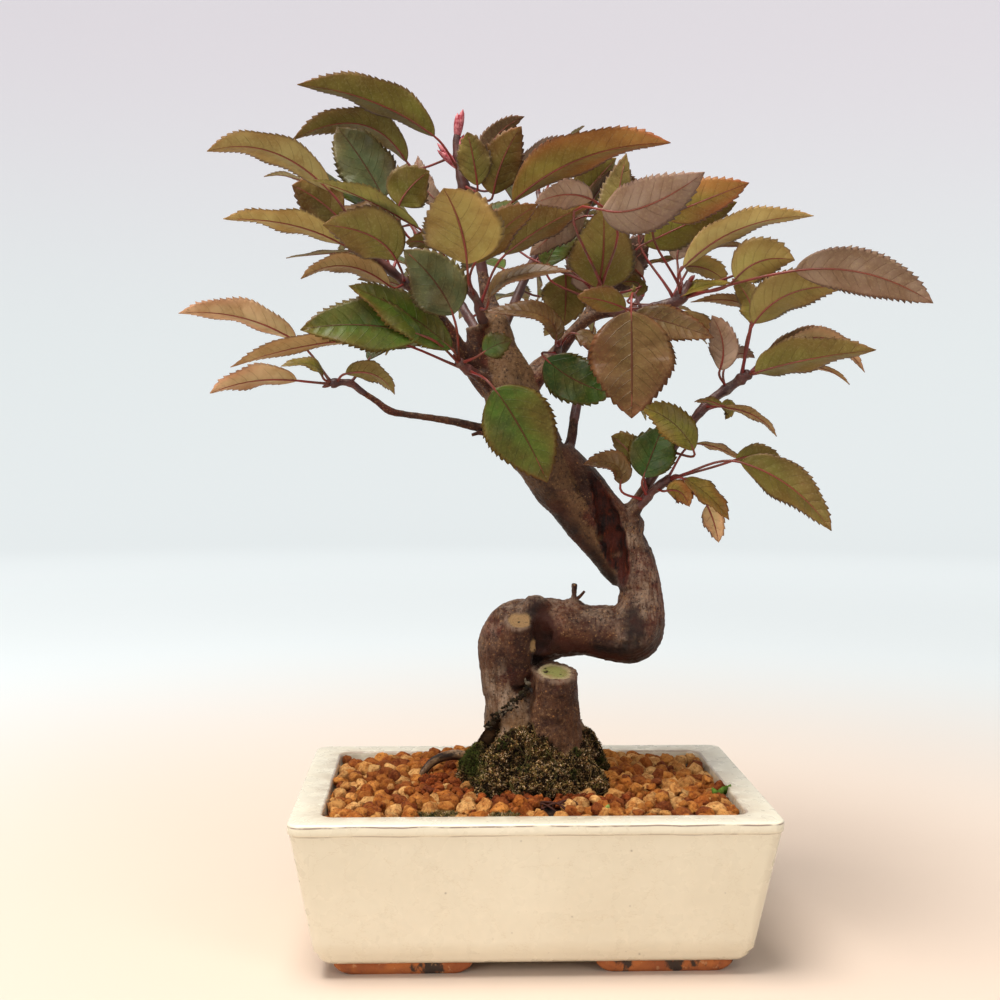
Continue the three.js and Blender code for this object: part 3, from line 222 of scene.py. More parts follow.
# Limbs that carry the shoots: the bare wood, then the shoot
LIMBS = {
    "low_left": (
        [(-8, 203, 0, 3), (-18, 201.8, -1, 2), (-30, 204.3, -2, 1.7), (-41, 206, -4, 1.5),
         (-50, 207.2, -5, 1.5), (-55.5, 208.4, -6, 1.7), (-61, 212.4, -7, 1.4), (-66.5, 216, -8, 1.3)],
        [(-71, 219.2, -9, 1.3), (-76.3, 219.6, -10, 1.3), (-79, 218.8, -10, 1)]),
    "upper_left": (
        [(-12, 214, 0, 5), (-22, 224, -3, 3.4), (-28, 233.5, -6, 2.9), (-33, 242, -8, 2.5),
         (-38, 248, -10, 2.2)],
        [(-45, 255.2, -12, 1.9), (-51, 260.4, -14, 1.7), (-58, 266, -16, 1.4), (-63.5, 269.6, -18, 1.1)]),
    "left_inner": (
        [(-14, 217, -4, 3), (-21.5, 223.2, -10, 2)],
        [(-25.8, 225.6, -13, 1.5), (-28.6, 228.6, -15, 1.1)]),
    "inner": (
        [(-3, 214, 0, 4), (4.5, 223, 0, 3), (9.5, 229, -1, 2.2)],
        [(11, 232.4, -6, 1.5), (11.4, 235, -10, 1.1)]),
    "front_spur": (
        [(-15, 240, 0, 3), (-18.8, 244.5, -6, 2)],
        [(-20.8, 251.5, -10, 1.6), (-24.6, 257, -13, 1.4), (-29, 261, -15, 1.1)]),
    "leader": (
        [(-14.6, 245.5, 0, 4.4), (-17, 254, 2, 3), (-19, 264, 4, 2.2)],
        [(-20.4, 274, 5, 1.9), (-23, 286, 5, 1.7), (-26.4, 297, 5, 2), (-28.2, 306, 5, 2),
         (-29.2, 315, 5, 1.7), (-28.6, 322.5, 5, 0.5)]),
    "upper_right": (
        [(-4, 214, 2, 4.6), (3.5, 225, 4, 4), (10, 231, 5, 3.2), (16, 238.5, 6, 2.7), (21.6, 245.3, 7, 2.3),
         (25.4, 251.4, 7.6, 1.8)],
        [(28.4, 254.6, 6.6, 1.6), (31.6, 257.8, 5.4, 1.5), (35.5, 262, 4, 1.1)]),
    "right": (
        [(15, 237, 6, 2.2), (21, 243.6, 6, 2.3), (27, 247, 5, 2.2), (33, 248, 4, 2.1)],
        [(41, 248.2, 2, 2), (49, 249.9, 0, 1.97), (56, 251.7, -2, 2), (59.6, 253.6, -3, 1.8),
         (63.6, 260.4, -3, 1.4)]),
    "right_middle": (
        [(40, 166, 1, 4), (43.5, 172.8, 0, 2.6), (48.5, 181, -2, 2)],
        [(56, 192, -5, 1.8), (63, 201.2, -7, 1.7), (67.4, 207.4, -8, 1.7), (73, 213.4, -8, 1.8),
         (80, 218.4, -8, 1.9), (84.4, 221.6, -8, 1.8), (88.6, 224.4, -8, 1)]),
    "right_low": (
        [(41, 167, -2, 3), (45, 171.6, -4, 1.8)],
        [(49, 176.2, -6, 1.5), (53, 179.6, -8, 1.5), (57, 182, -10, 1.1)]),
    "back_right": (
        [(12, 186, 4, 4), (16.5, 196, 7, 2.2), (18, 206, 10, 2)],
        [(21, 219, 21, 1.8), (27, 231, 34, 1.6), (35, 243, 48, 1.3), (44, 254, 62, 1)]),
    "back_left": (
        [(-12, 220, 4, 4), (-17, 230, 13, 2.4), (-20, 238, 22, 2.1)],
        [(-27, 250, 36, 1.8), (-35, 262, 50, 1.5), (-42, 273, 64, 1.2), (-47, 282, 76, 0.9)]),
    "back": (
        [(-13, 232, 4, 3.4), (-11, 240, 12, 2.3), (-8, 247, 20, 2)],
        [(-3, 259, 33, 1.8), (2, 271, 46, 1.5), (4, 283, 58, 1.2), (3, 295, 68, 0.9)]),
}

# A leaf: place on the twig from 0 to 1, neck (x, z, y), middle (x, z), tip (x, z, y), full width, turn,
# fold, and the name of its look
LEAVES = {
    "low_left": [
        (0.95, (-92, 220.2, -14), (-109.5, 220), (-126.5, 215, -22), 15, 136, 38, "orange"),
        (0.9, (-92.2, 235.6, -5), (-114, 245), (-138.6, 246.6, -8), 16, 139, 38, "orange"),
        (0.8, (-82, 221.6, -14), (-87.5, 226.6), (-98.5, 225.8, -20), 9, 60, 25, "olive"),
        (0.7, (-73, 223, -16), (-61.5, 222.8), (-53.3, 215, -24), 13, 132, 30, "olive"),
        (0.35, (-64, 228.4, -4), (-55, 235), (-38.5, 234.4, 6), 10, 50, 20, "grey_green"),
    ],
    "upper_left": [
        (1, (-79, 294.5, -26), (-102, 309.8), (-127.3, 309.8, -30), 19, 139, 40, "tan_olive"),
        (0.97, (-74, 273.8, -24), (-95, 281.6), (-121, 283.4, -34), 16, 130, 36, "tan_olive"),
        (0.9, (-70, 271.4, -12), (-83, 270.2), (-96.4, 268.6, -6), 8, 98, 20, "pale"),
        (0.42, (-55.5, 257.6, -20), (-73, 265.6), (-91, 260.6, -26), 14, 128, 30, "tan"),
        (0.45, (-53, 268, -34), (-63.5, 277.6), (-82, 281.4, -44), 22, 158, 22, "olive"),
        (0.62, (-52.5, 279.5, -6), (-63, 286), (-78.5, 285.2, -4), 18, 62, 18, "bronze"),
        (0.75, (-58, 292, 2), (-66.5, 306.4), (-76.4, 319.8, 6), 25, 24, 16, "grey_green"),
        (0.7, (-75, 283.6, -14), (-84, 291.4), (-94, 296.8, -16), 18, 160, 18, "olive_brown"),
        (0.65, (-64, 286, 12), (-75, 296.6), (-88.6, 303.4, 14), 14, 70, 15, "green"),
        (0.85, (-78, 291, 20), (-92, 299.4), (-105, 300.2, 24), 9, 100, 20, "pale"),
        (0.3, (-49, 256.6, -2), (-57, 259.8), (-68.4, 260.4, 6), 10, 120, 18, "olive"),
    ],
    "left_inner": [
        (0.6, (-43, 238.4, -30), (-66, 242.2), (-91, 240.3, -42), 21, 22, 16, "green"),
        (0.95, (-31, 233, -22), (-50, 247.4), (-72, 257.6, -38), 18, 34, 12, "green"),
        (0.35, (-62, 236.6, -26), (-89, 234), (-118.6, 225.6, -34), 14, 122, 30, "tan"),
        (0.3, (-14, 217.4, -31), (-3.4, 201.4), (7.6, 180, -32), 27, 6, 10, "green"),
        (0.8, (-18.6, 231.6, -21), (-13.2, 234.8), (-7, 236.6, -24), 10, 12, 8, "green"),
        (0.9, (-30.6, 246.6, -32), (-37.6, 259.2), (-50, 272.2, -40), 22, 18, 14, "grey_green"),
    ],
    "inner": [
        (0.4, (6.4, 229.4, -22), (19, 220.6), (33.6, 216, -26), 19, 10, 10, "dark_green"),
        (0.9, (10.4, 236.6, -16), (4.2, 246.6), (-18.6, 248.2, -22), 13, 52, 22, "bronze"),
        (0.7, (18, 239.6, -14), (23.6, 236.6), (25.4, 231.4, -18), 8, 30, 12, "bronze"),
    ],
    "front_spur": [
        (0.95, (-44, 280.4, -34), (-66, 292.2), (-86, 299, -48), 14, 112, 22, "yellow_green"),
        (0.9, (-52, 289.4, -22), (-47.6, 296.4), (-40, 303, -20), 18, 166, 14, "dark_olive"),
        (0.6, (-25, 266.6, -50), (-27.8, 281.6), (-34.4, 297, -66), 30, 168, 14, "yellow_olive"),
        (0.5, (-22, 267, -34), (-12.4, 279.2), (3, 290.6, -42), 17, 150, 24, "olive_brown"),
        (0.25, (-10, 270.4, -14), (5.4, 281.8), (24, 291, -22), 20, 142, 36, "olive_brown"),
        (0.2, (-16.4, 252.4, -26), (-7, 261.4), (17.4, 264.6, -38), 14, 62, 20, "bronze"),
        (0.7, (-38.6, 272.6, -30), (-43, 275.4), (-49.6, 275, -38), 10, 140, 16, "olive"),
    ],
    "leader": [
        (0.58, (-38, 316.4, 0), (-62, 329.6), (-92, 336.4, -6), 22, 139, 40, "dark_olive"),
        (0.72, (-49, 306.4, 14), (-67.5, 321), (-94.2, 314.2, 16), 19, 132, 30, "olive"),
        (0.5, (-21, 297.4, -8), (-22.8, 308.6), (-25.2, 318.4, -14), 13, 172, 14, "olive"),
        (0.44, (-14.8, 294, -6), (-11.2, 307.4), (-3.8, 321, -12), 17, 168, 16, "olive_brown"),
        (0.55, (-17.4, 302, 12), (-14.6, 315.6), (-2.6, 324.8, 18), 11, 150, 16, "bronze"),
        (0.36, (-7, 291.4, -16), (20, 308.6), (55.8, 316, -30), 25, 138, 38, "rust_olive"),
        (0.4, (-18, 281, 14), (-13.6, 287.4), (-6, 292, 20), 13, 60, 12, "green"),
        (0.5, (-12, 298, 30), (2, 308.6), (15.4, 317, 42), 14, 130, 18, "mauve"),
        (0.3, (-34, 290, 22), (-42, 297), (-44.6, 309, 30), 10, 150, 14, "mauve"),
    ],
    "upper_right": [
        (0.2, (26.6, 257.6, -1), (29, 270.6), (28.8, 290, -16), 27, 172, 14, "olive"),
        (0.4, (28.4, 288.6, -66), (46, 290.2), (69.4, 304, -78), 20, 164, 16, "mauve"),
        (0.35, (24.6, 292.4, -52), (14, 294.4), (1.6, 290.8, -58), 11, 158, 14, "mauve"),
        (0.95, (45.4, 275.2, -6), (63, 283.6), (82.4, 292.2, -10), 19, 160, 22, "dark_olive"),
        (0.3, (14, 263, 16), (14.2, 253.6), (13.6, 242.4, 20), 20, 168, 10, "olive"),
        (0.7, (33, 276, 20), (34, 290), (38, 311, 26), 16, 160, 14, "olive"),
        (0.6, (20, 279, 26), (29.6, 299), (44.4, 297.4, 34), 11, 120, 20, "bronze"),
        (0.5, (-2.6, 276.4, 22), (9.4, 280.6), (24, 284.4, 26), 14, 40, 14, "grey_green"),
        (0.85, (36, 290, 22), (42, 294.6), (47.6, 292.6, 26), 8, 120, 12, "green"),
        (0.9, (40.6, 265, 14), (42, 271), (45.4, 279, 18), 15, 150, 12, "purple"),
        (0.1, (24.4, 256, 13), (21, 268), (20.6, 282, 15), 15, 165, 12, "mauve"),
        (0.2, (32, 257, 12), (38.6, 266), (47.4, 274.4, 14), 17, 158, 14, "purple"),
        (0.05, (6.4, 265.6, 10), (11.4, 275.3), (22.6, 286, 12), 13, 20, 14, "green"),
        (0.3, (12, 284, 30), (24, 298), (34, 309, 34), 16, 150, 14, "dark_olive"),
        (0.15, (21.6, 286, 4), (12, 281), (-0.4, 270, 6), 14, 165, 14, "mauve"),
        (0.1, (30, 262, 12), (22, 271), (16, 284, 14), 15, 165, 12, "grey_green"),
        (0.2, (45, 262, 10), (38, 268), (30, 270, 12), 9, 150, 12, "purple_brown"),
    ],
    "right": [
        (0.86, (53, 286, -26), (68.4, 292.4), (87.2, 300, -34), 16, 162, 18, "rust_olive"),
        (0.82, (61, 266, -16), (83.4, 281.6), (113.4, 287.4, -24), 15, 139, 36, "tan_olive"),
        (0.88, (61.6, 266.6, 4), (70.6, 265.6), (79, 260.2, 8), 12, 140, 20, "yellow_olive"),
        (0.8, (106, 265.2, -30), (134.6, 264.4), (162.4, 252.6, -48), 18, 162, 10, "purple_brown"),
        (0.85, (82, 261.6, -18), (92.4, 269), (106, 269.4, -20), 19, 158, 22, "yellow_olive"),
        (0.84, (88, 272.4, 4), (79.6, 275), (66.6, 271.8, 10), 7, 105, 16, "tan"),
        (0.9, (60.6, 254.6, -6), (69, 258.8), (80.4, 260.2, -2), 9, 60, 14, "dark_olive"),
        (0.3, (40.4, 248.6, -42), (40.8, 228.4), (41, 206, -48), 31, 8, 10, "bronze"),
        (0.2, (38.2, 249.6, -30), (29, 252.8), (18.6, 254.2, -32), 12, 150, 22, "olive_brown"),
        (0.42, (41.6, 247.6, -26), (56.4, 243.8), (73.8, 238.2, -30), 14, 28, 18, "bronze"),
        (0.75, (58.6, 269, 10), (60.6, 276), (68.6, 282.4, 14), 11, 156, 12, "mauve"),
        (0.5, (39.6, 253.6, 8), (43, 260), (29.4, 259.2, 14), 8, 130, 18, "olive"),
        (0.6, (60, 270.6, 22), (53, 269), (45.4, 267.6, 26), 7, 110, 12, "olive"),
        (0.7, (45, 284, 8), (52, 291.4), (62.2, 298.6, 6), 12, 150, 16, "olive"),
        (0.55, (61, 248.6, 14), (69, 243.4), (76.2, 237, 20), 10, 140, 16, "tan"),
    ],
    "right_middle": [
        (0.7, (76.2, 225.4, -12), (77.4, 236), (72.8, 247.4, -14), 13, 156, 20, "mauve"),
        (0.68, (78.4, 227, 2), (83.4, 232), (90.3, 230.4, 8), 8, 130, 14, "mauve"),
        (0.98, (90.4, 224.4, -14), (110, 229.6), (139.4, 234.6, -26), 22, 139, 38, "olive"),
        (0.95, (93.6, 229.6, 4), (104.4, 237.4), (116.6, 243.2, 8), 8, 140, 14, "bronze"),
        (0.97, (97.6, 229.4, 0), (117.6, 238.8), (135, 224.6, 0), 10, 132, 18, "orange"),
        (0.96, (104.6, 226.4, -6), (118, 226.4), (129, 220, -10), 6, 112, 14, "tan"),
        (0.88, (89.6, 244, -14), (104.4, 256.2), (127, 258.8, -22), 20, 150, 24, "yellow_olive"),
        (0.87, (89, 244.6, -2), (87.6, 253.6), (80.8, 262, 4), 12, 150, 22, "olive"),
        (0.86, (88.4, 244, 10), (83.4, 252.6), (64, 252.2, 18), 9, 128, 18, "tan"),
        (0.55, (77.4, 211.2, -18), (71.6, 213.2), (66, 212.8, -20), 6, 120, 14, "olive"),
        (0.5, (77, 210.8, -16), (90.6, 207.4), (99.8, 199, -24), 8, 118, 14, "tan"),
        (0.45, (76.6, 211, -2), (80.4, 210), (78.6, 205.6, 2), 7, 40, 10, "dark_olive"),
        (0.15, (66, 193.2, -20), (57.4, 204.2), (44, 210.9, -22), 14, 26, 16, "dark_olive"),
    ],
    "right_low": [
        (0.1, (36.6, 179.6, -14), (34, 187.4), (21.6, 187.6, -18), 13, 44, 26, "bronze"),
        (0.2, (45.8, 182.4, -14), (49.6, 192.6), (53.6, 203, -12), 19, 10, 12, "dark_green"),
        (0.25, (43.6, 188, -2), (38.6, 194.4), (33, 199, 4), 13, 150, 16, "olive"),
        (0.5, (55.2, 177, -12), (61, 176.4), (64.6, 170.6, -16), 10, 150, 16, "rust_olive"),
        (0.9, (62.4, 181.8, -16), (71.6, 175.4), (81, 165.6, -22), 13, 50, 26, "olive_brown"),
        (0.7, (71.6, 171.4, -8), (74.6, 164.4), (76.6, 156.2, -8), 9, 160, 12, "orange"),
        (0.8, (67, 196, -2), (75.4, 194.6), (85.8, 189.4, 6), 8, 118, 18, "tan"),
        (0.95, (83, 189.6, -10), (92, 191.6), (101, 190.8, -8), 10, 150, 18, "olive"),
        (0.97, (85, 188.6, -20), (105.4, 178.8), (122.6, 161, -34), 19, 148, 26, "olive"),
        (0.6, (61.6, 180.8, 2), (66.6, 181.6), (71.6, 179, 8), 6, 80, 10, "green"),
    ],
}

# Shoots behind the trunk: leaves set round the twig by rule, each turned on by the golden angle
BEHIND = {
    "back_right": dict(count=8, first=0.3, length=44, width=18, spread=62, start=20),
    "back_left": dict(count=10, first=0.15, length=46, width=19, spread=60, start=75),
    "back": dict(count=9, first=0.2, length=44, width=18, spread=62, start=140),
}
BEHIND_LOOKS = ("olive", "green", "dark_olive", "olive_brown", "grey_green")
GOLDEN = 137.5

# Looks of a leaf: its shown side near the base, the same side towards tip and margin
LOOKS = {
    "green": ("#3c5214", "#56461a"),
    "dark_green": ("#2a4012", "#374617"),
    "grey_green": ("#4b5432", "#625a38"),
    "yellow_green": ("#8a8a3e", "#978a44"),
    "olive": ("#6e6626", "#7e6230"),
    "dark_olive": ("#6c661e", "#7a6028"),
    "olive_brown": ("#685a20", "#7a4e24"),
    "yellow_olive": ("#908040", "#9c7a42"),
    "rust_olive": ("#7e6e28", "#a65a30"),
    "tan_olive": ("#a49456", "#b28e52"),
    "tan": ("#a08856", "#a67e54"),
    "pale": ("#a09a6c", "#a4926a"),
    "orange": ("#b29a6c", "#c68e6a"),
    "bronze": ("#5f4826", "#634229"),
    "purple": ("#503a32", "#5c4036"),
    "purple_brown": ("#8a705a", "#7c604c"),
    "mauve": ("#937a66", "#8a6c5a"),
}


def linear(colour):
    """A hexadecimal sRGB colour as linear light, with alpha."""
    channels = [int(colour[i:i + 2], 16) / 255 for i in (1, 3, 5)]
    return [c / 12.92 if c <= 0.04045 else ((c + 0.055) / 1.055) ** 2.4 for c in channels] + [1.0]


def light_of(colour):
    return np.array(linear(colour)[:3])


# The pot's middle in the frame of the model
pot_low, pot_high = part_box("pot")
SHIFT = np.array(((pot_low.x + pot_high.x) * 500, (pot_low.y + pot_high.y) * 500, 0.0))


def metres(points):
    return (np.asarray(points, dtype=float) + SHIFT) * 0.001


def millimetres(points):
    return np.asarray(points, dtype=float) * 1000 - SHIFT


# Numbers, vectors and curves

def ramp(values, start, end):
    """0 up to the start, 1 from the end on, and straight between them; the end may be the lower one."""
    return np.clip((values - start) / (end - start), 0, 1)


def unit(vectors):
    return np.asarray(vectors) / np.linalg.norm(vectors, axis=-1, keepdims=True)


def turned_off(vector, axis):
    """The part of a vector that stands square to an axis, at length 1."""
    return unit(vector - (vector * axis).sum(-1, keepdims=True) * axis)


def turns(count):
    """Angles round a circle, in equal steps."""
    return np.linspace(0, 2 * np.pi, count, endpoint=False)


def seen(x, z, y=0.0):
    """A place on the upright sheet, carried along the line of sight to the depth y."""
    reach = (y - EYE[1]) / -EYE[1]
    return np.array((EYE[0] + (x - EYE[0]) * reach, y, EYE[2] + (z - EYE[2]) * reach))


def curve_at(points, places):
    """Centripetal Catmull-Rom curve through the points, at places counted in points; and its way on."""
    points = np.asarray(points, dtype=float)
    padded = np.vstack((2 * points[0] - points[1], points, 2 * points[-1] - points[-2]))
    places = np.clip(np.atleast_1d(places), 0, len(points) - 1)
    spans = np.minimum(places.astype(int), len(points) - 2)
    w = (places - spans)[:, None]
    p0, p1, p2, p3 = (padded[spans + k] for k in range(4))
    d0, d1, d2 = (np.sqrt(np.linalg.norm(b - a, axis=1))[:, None] for a, b in ((p0, p1), (p1, p2), (p2, p3)))
    t1 = ((p1 - p0) / d0 - (p2 - p0) / (d0 + d1) + (p2 - p1) / d1) * d1
    t2 = ((p2 - p1) / d1 - (p3 - p1) / (d1 + d2) + (p3 - p2) / d2) * d1
    c2 = -3 * p1 + 3 * p2 - 2 * t1 - t2
    c3 = 2 * p1 - 2 * p2 + t1 + t2
    return p1 + t1 * w + c2 * w ** 2 + c3 * w ** 3, unit(t1 + 2 * c2 * w + 3 * c3 * w ** 2)


def frames_along(ways, start=(0.31, -0.94, 0.12)):
    """Two directions across the curve at each place, carried on without twist."""
    across = np.array(start)
    rows = []
    for way in ways:
        across = turned_off(across, way)
        rows.append(across)
    rows = np.array(rows)
    return rows, np.cross(ways, rows)


def station_curve(stations, steps, first=0, last=None):
    """Centres, ways and radii along a limb, steps places to a span, from one station to another."""
    last = len(stations) - 1 if last is None else last
    places = np.linspace(first, last, round((last - first) * steps) + 1)
    centres, ways = curve_at([seen(x, z, y) for x, z, y, _ in stations], places)
    radii = np.interp(places, range(len(stations)), [row[3] for row in stations])
    return centres, ways, radii


# Shells: a shell is its points, lists of faces of three or four corners, and values for each point

def joined(shells):
    """Several shells as one, with the values of their points."""
    offset = 0
    faces = []
    for shell in shells:
        faces += [block + offset for block in shell["faces"]]
        offset += len(shell["points"])
    keys = [key for key in shells[0] if key != "faces"]
    return {"faces": faces, **{key: np.concatenate([shell[key] for shell in shells]) for key in keys}}


def face_count(shell):
    return sum(len(block) for block in shell["faces"])


def grid_quads(at, flipped=False):
    """Faces between the neighbours in a grid of point numbers."""
    quads = np.stack((at[:-1, :-1], at[:-1, 1:], at[1:, 1:], at[1:, :-1]), axis=-1).reshape(-1, 4)
    return quads[:, (0, 3, 2, 1)] if flipped else quads


def closed_grid(rows, columns):
    """Point numbers of rings, with the first one of each ring again at its end."""
    at = np.arange(rows * columns).reshape(rows, columns)
    return np.column_stack((at, at[:, 0]))


def lofted(rings):
    """A closed shell over rings of equal count, with a pole in the middle of each end."""
    rings = np.asarray(rings)
    count, sides = rings.shape[:2]
    points = np.vstack((rings.reshape(-1, 3), rings[0].mean(axis=0), rings[-1].mean(axis=0)))
    at = closed_grid(count, sides)
    poles = np.full((2, sides), [[count * sides], [count * sides + 1]])
    bottom = np.stack((at[0, 1:], at[0, :-1], poles[0]), axis=-1)
    top = np.stack((at[-1, :-1], at[-1, 1:], poles[1]), axis=-1)
    return {"points": points, "faces": [grid_quads(at), np.vstack((bottom, top))]}


def tube(centres, ways, radii, sides, bumps=0.0):
    """A closed limb over its centres, out of round by a share of its radius."""
    across, other = frames_along(ways)
    angles = turns(sides)
    turn = np.arange(len(centres))[:, None]
    swell = 1 + bumps * np.sin(3 * angles + turn * 0.35) + bumps * np.sin(2 * angles - turn * 0.2)
    reach = (np.asarray(radii)[:, None] * swell)[..., None]
    circles = across[:, None] * np.cos(angles)[:, None] + other[:, None] * np.sin(angles)[:, None]
    return lofted(centres[:, None] + reach * circles)


def limb(stations, steps, sides, bumps=0.0, grow=0.0, first=0, last=None):
    """A tube along a limb, thicker than the limb by a margin."""
    centres, ways, radii = station_curve(stations, steps, first, last)
    return tube(centres, ways, radii + grow, sides, bumps)


def ball(divisions):
    bm = bmesh.new()
    bmesh.ops.create_icosphere(bm, subdivisions=divisions, radius=1)
    points = np.array([v.co[:] for v in bm.verts])
    faces = np.array([[v.index for v in f.verts] for f in bm.faces])
    bm.free()
    return points, faces


# Meshes

def new_mesh(name, shell):
    """A mesh from a shell; values of its points become attributes, and uv becomes a UV map."""
    faces = [np.asarray(block, dtype=np.int32) for block in shell["faces"] if len(block)]
    corners = np.concatenate([block.ravel() for block in faces])
    sizes = np.concatenate([np.full(len(block), block.shape[1]) for block in faces])
    mesh = bpy.data.meshes.new(name)
    mesh.vertices.add(len(shell["points"]))
    mesh.vertices.foreach_set("co", metres(shell["points"]).ravel())
    mesh.loops.add(len(corners))
    mesh.loops.foreach_set("vertex_index", corners)
    mesh.polygons.add(len(sizes))
    mesh.polygons.foreach_set("loop_start", np.concatenate(([0], np.cumsum(sizes)[:-1])))
    mesh.update(calc_edges=True)
    if "slots" in shell:
        mesh.polygons.foreach_set("material_index", np.asarray(shell["slots"], dtype=np.int32))
    for key, values in shell.items():
        if key in ("points", "faces", "slots"):
            continue
        values = np.asarray(values, dtype=float)
        if key == "uv":
            mesh.uv_layers.new(name="uv").data.foreach_set("uv", values[corners].ravel())
        elif values.ndim == 2:
            mesh.attributes.new(key, "FLOAT_COLOR", "POINT").data.foreach_set("color", values.ravel())
        else:
            mesh.attributes.new(key, "FLOAT", "POINT").data.foreach_set("value", values)
    return mesh


def in_scene(name, data):
    obj = bpy.data.objects.new(name, data)
    bpy.context.scene.collection.objects.link(obj)
    return obj


def piece(name, shell, materials, nodes, sharp=0):
    """An object of the part: rides on the body, stands for CAD nodes, and has its finish from a slot."""
    mesh = new_mesh(name, shell)
    for material in materials:
        mesh.materials.append(material)
    mesh.shade_smooth()
    if sharp:
        mesh.set_sharp_from_angle(angle=math.radians(sharp))
    obj = in_scene(name, mesh)
    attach(obj, "root")
    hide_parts(*nodes)


def pulled(items, key, width=1, kind=float):
    """One property of all the items, as rows of the given width."""
    values = np.empty(len(items) * width, dtype=kind)
    items.foreach_get(key, values)
    return values.reshape(-1, width) if width > 1 else values


def shaped(shell, *changes):
    """A shell after modifiers, each given as its kind and settings; and the normals of its points."""
    obj = in_scene("working", new_mesh("working", {key: shell[key] for key in ("points", "faces")}))
    helpers = [obj]
    for kind, settings in changes:
        modifier = obj.modifiers.new(kind, kind)
        for key, value in settings.items():
            if key == "object":
                value = in_scene("cutter", new_mesh("cutter", value))
                helpers.append(value)
            setattr(modifier, key, value)
    evaluated = obj.evaluated_get(bpy.context.evaluated_depsgraph_get())
    mesh = evaluated.to_mesh()
    mesh.calc_loop_triangles()
    points = millimetres(pulled(mesh.vertices, "co", 3))
    normals = pulled(mesh.vertex_normals, "vector", 3)
    corners = pulled(mesh.loops, "vertex_index", kind=np.int32)
    starts = pulled(mesh.polygons, "loop_start", kind=np.int32)
    totals = np.diff(np.append(starts, len(corners)))
    faces = [corners[starts[totals == n][:, None] + np.arange(n)] for n in (3, 4)]
    if not set(np.unique(totals)) <= {3, 4}:
        faces = [pulled(mesh.loop_triangles, "vertices", 3, np.int32)]
    evaluated.to_mesh_clear()
    for temporary in helpers:
        data = temporary.data
        bpy.data.objects.remove(temporary)
        bpy.data.meshes.remove(data)
    return {"points": points, "faces": faces}, normals


def remesh(size):
    return "REMESH", dict(mode="VOXEL", voxel_size=size * 0.001, adaptivity=0.0)


def cut(shell):
    return "BOOLEAN", dict(operation="DIFFERENCE", solver="EXACT", object=shell)


def smooth(rounds):
    return "SMOOTH", dict(factor=0.5, iterations=rounds)


def field(points, size, octaves=3):
    """Smooth noise, about -1 to 1, with features of the given size."""
    return np.array([noise.fractal(Vector(p), 1.0, 2.0, octaves) for p in np.asarray(points) / size])


# Materials

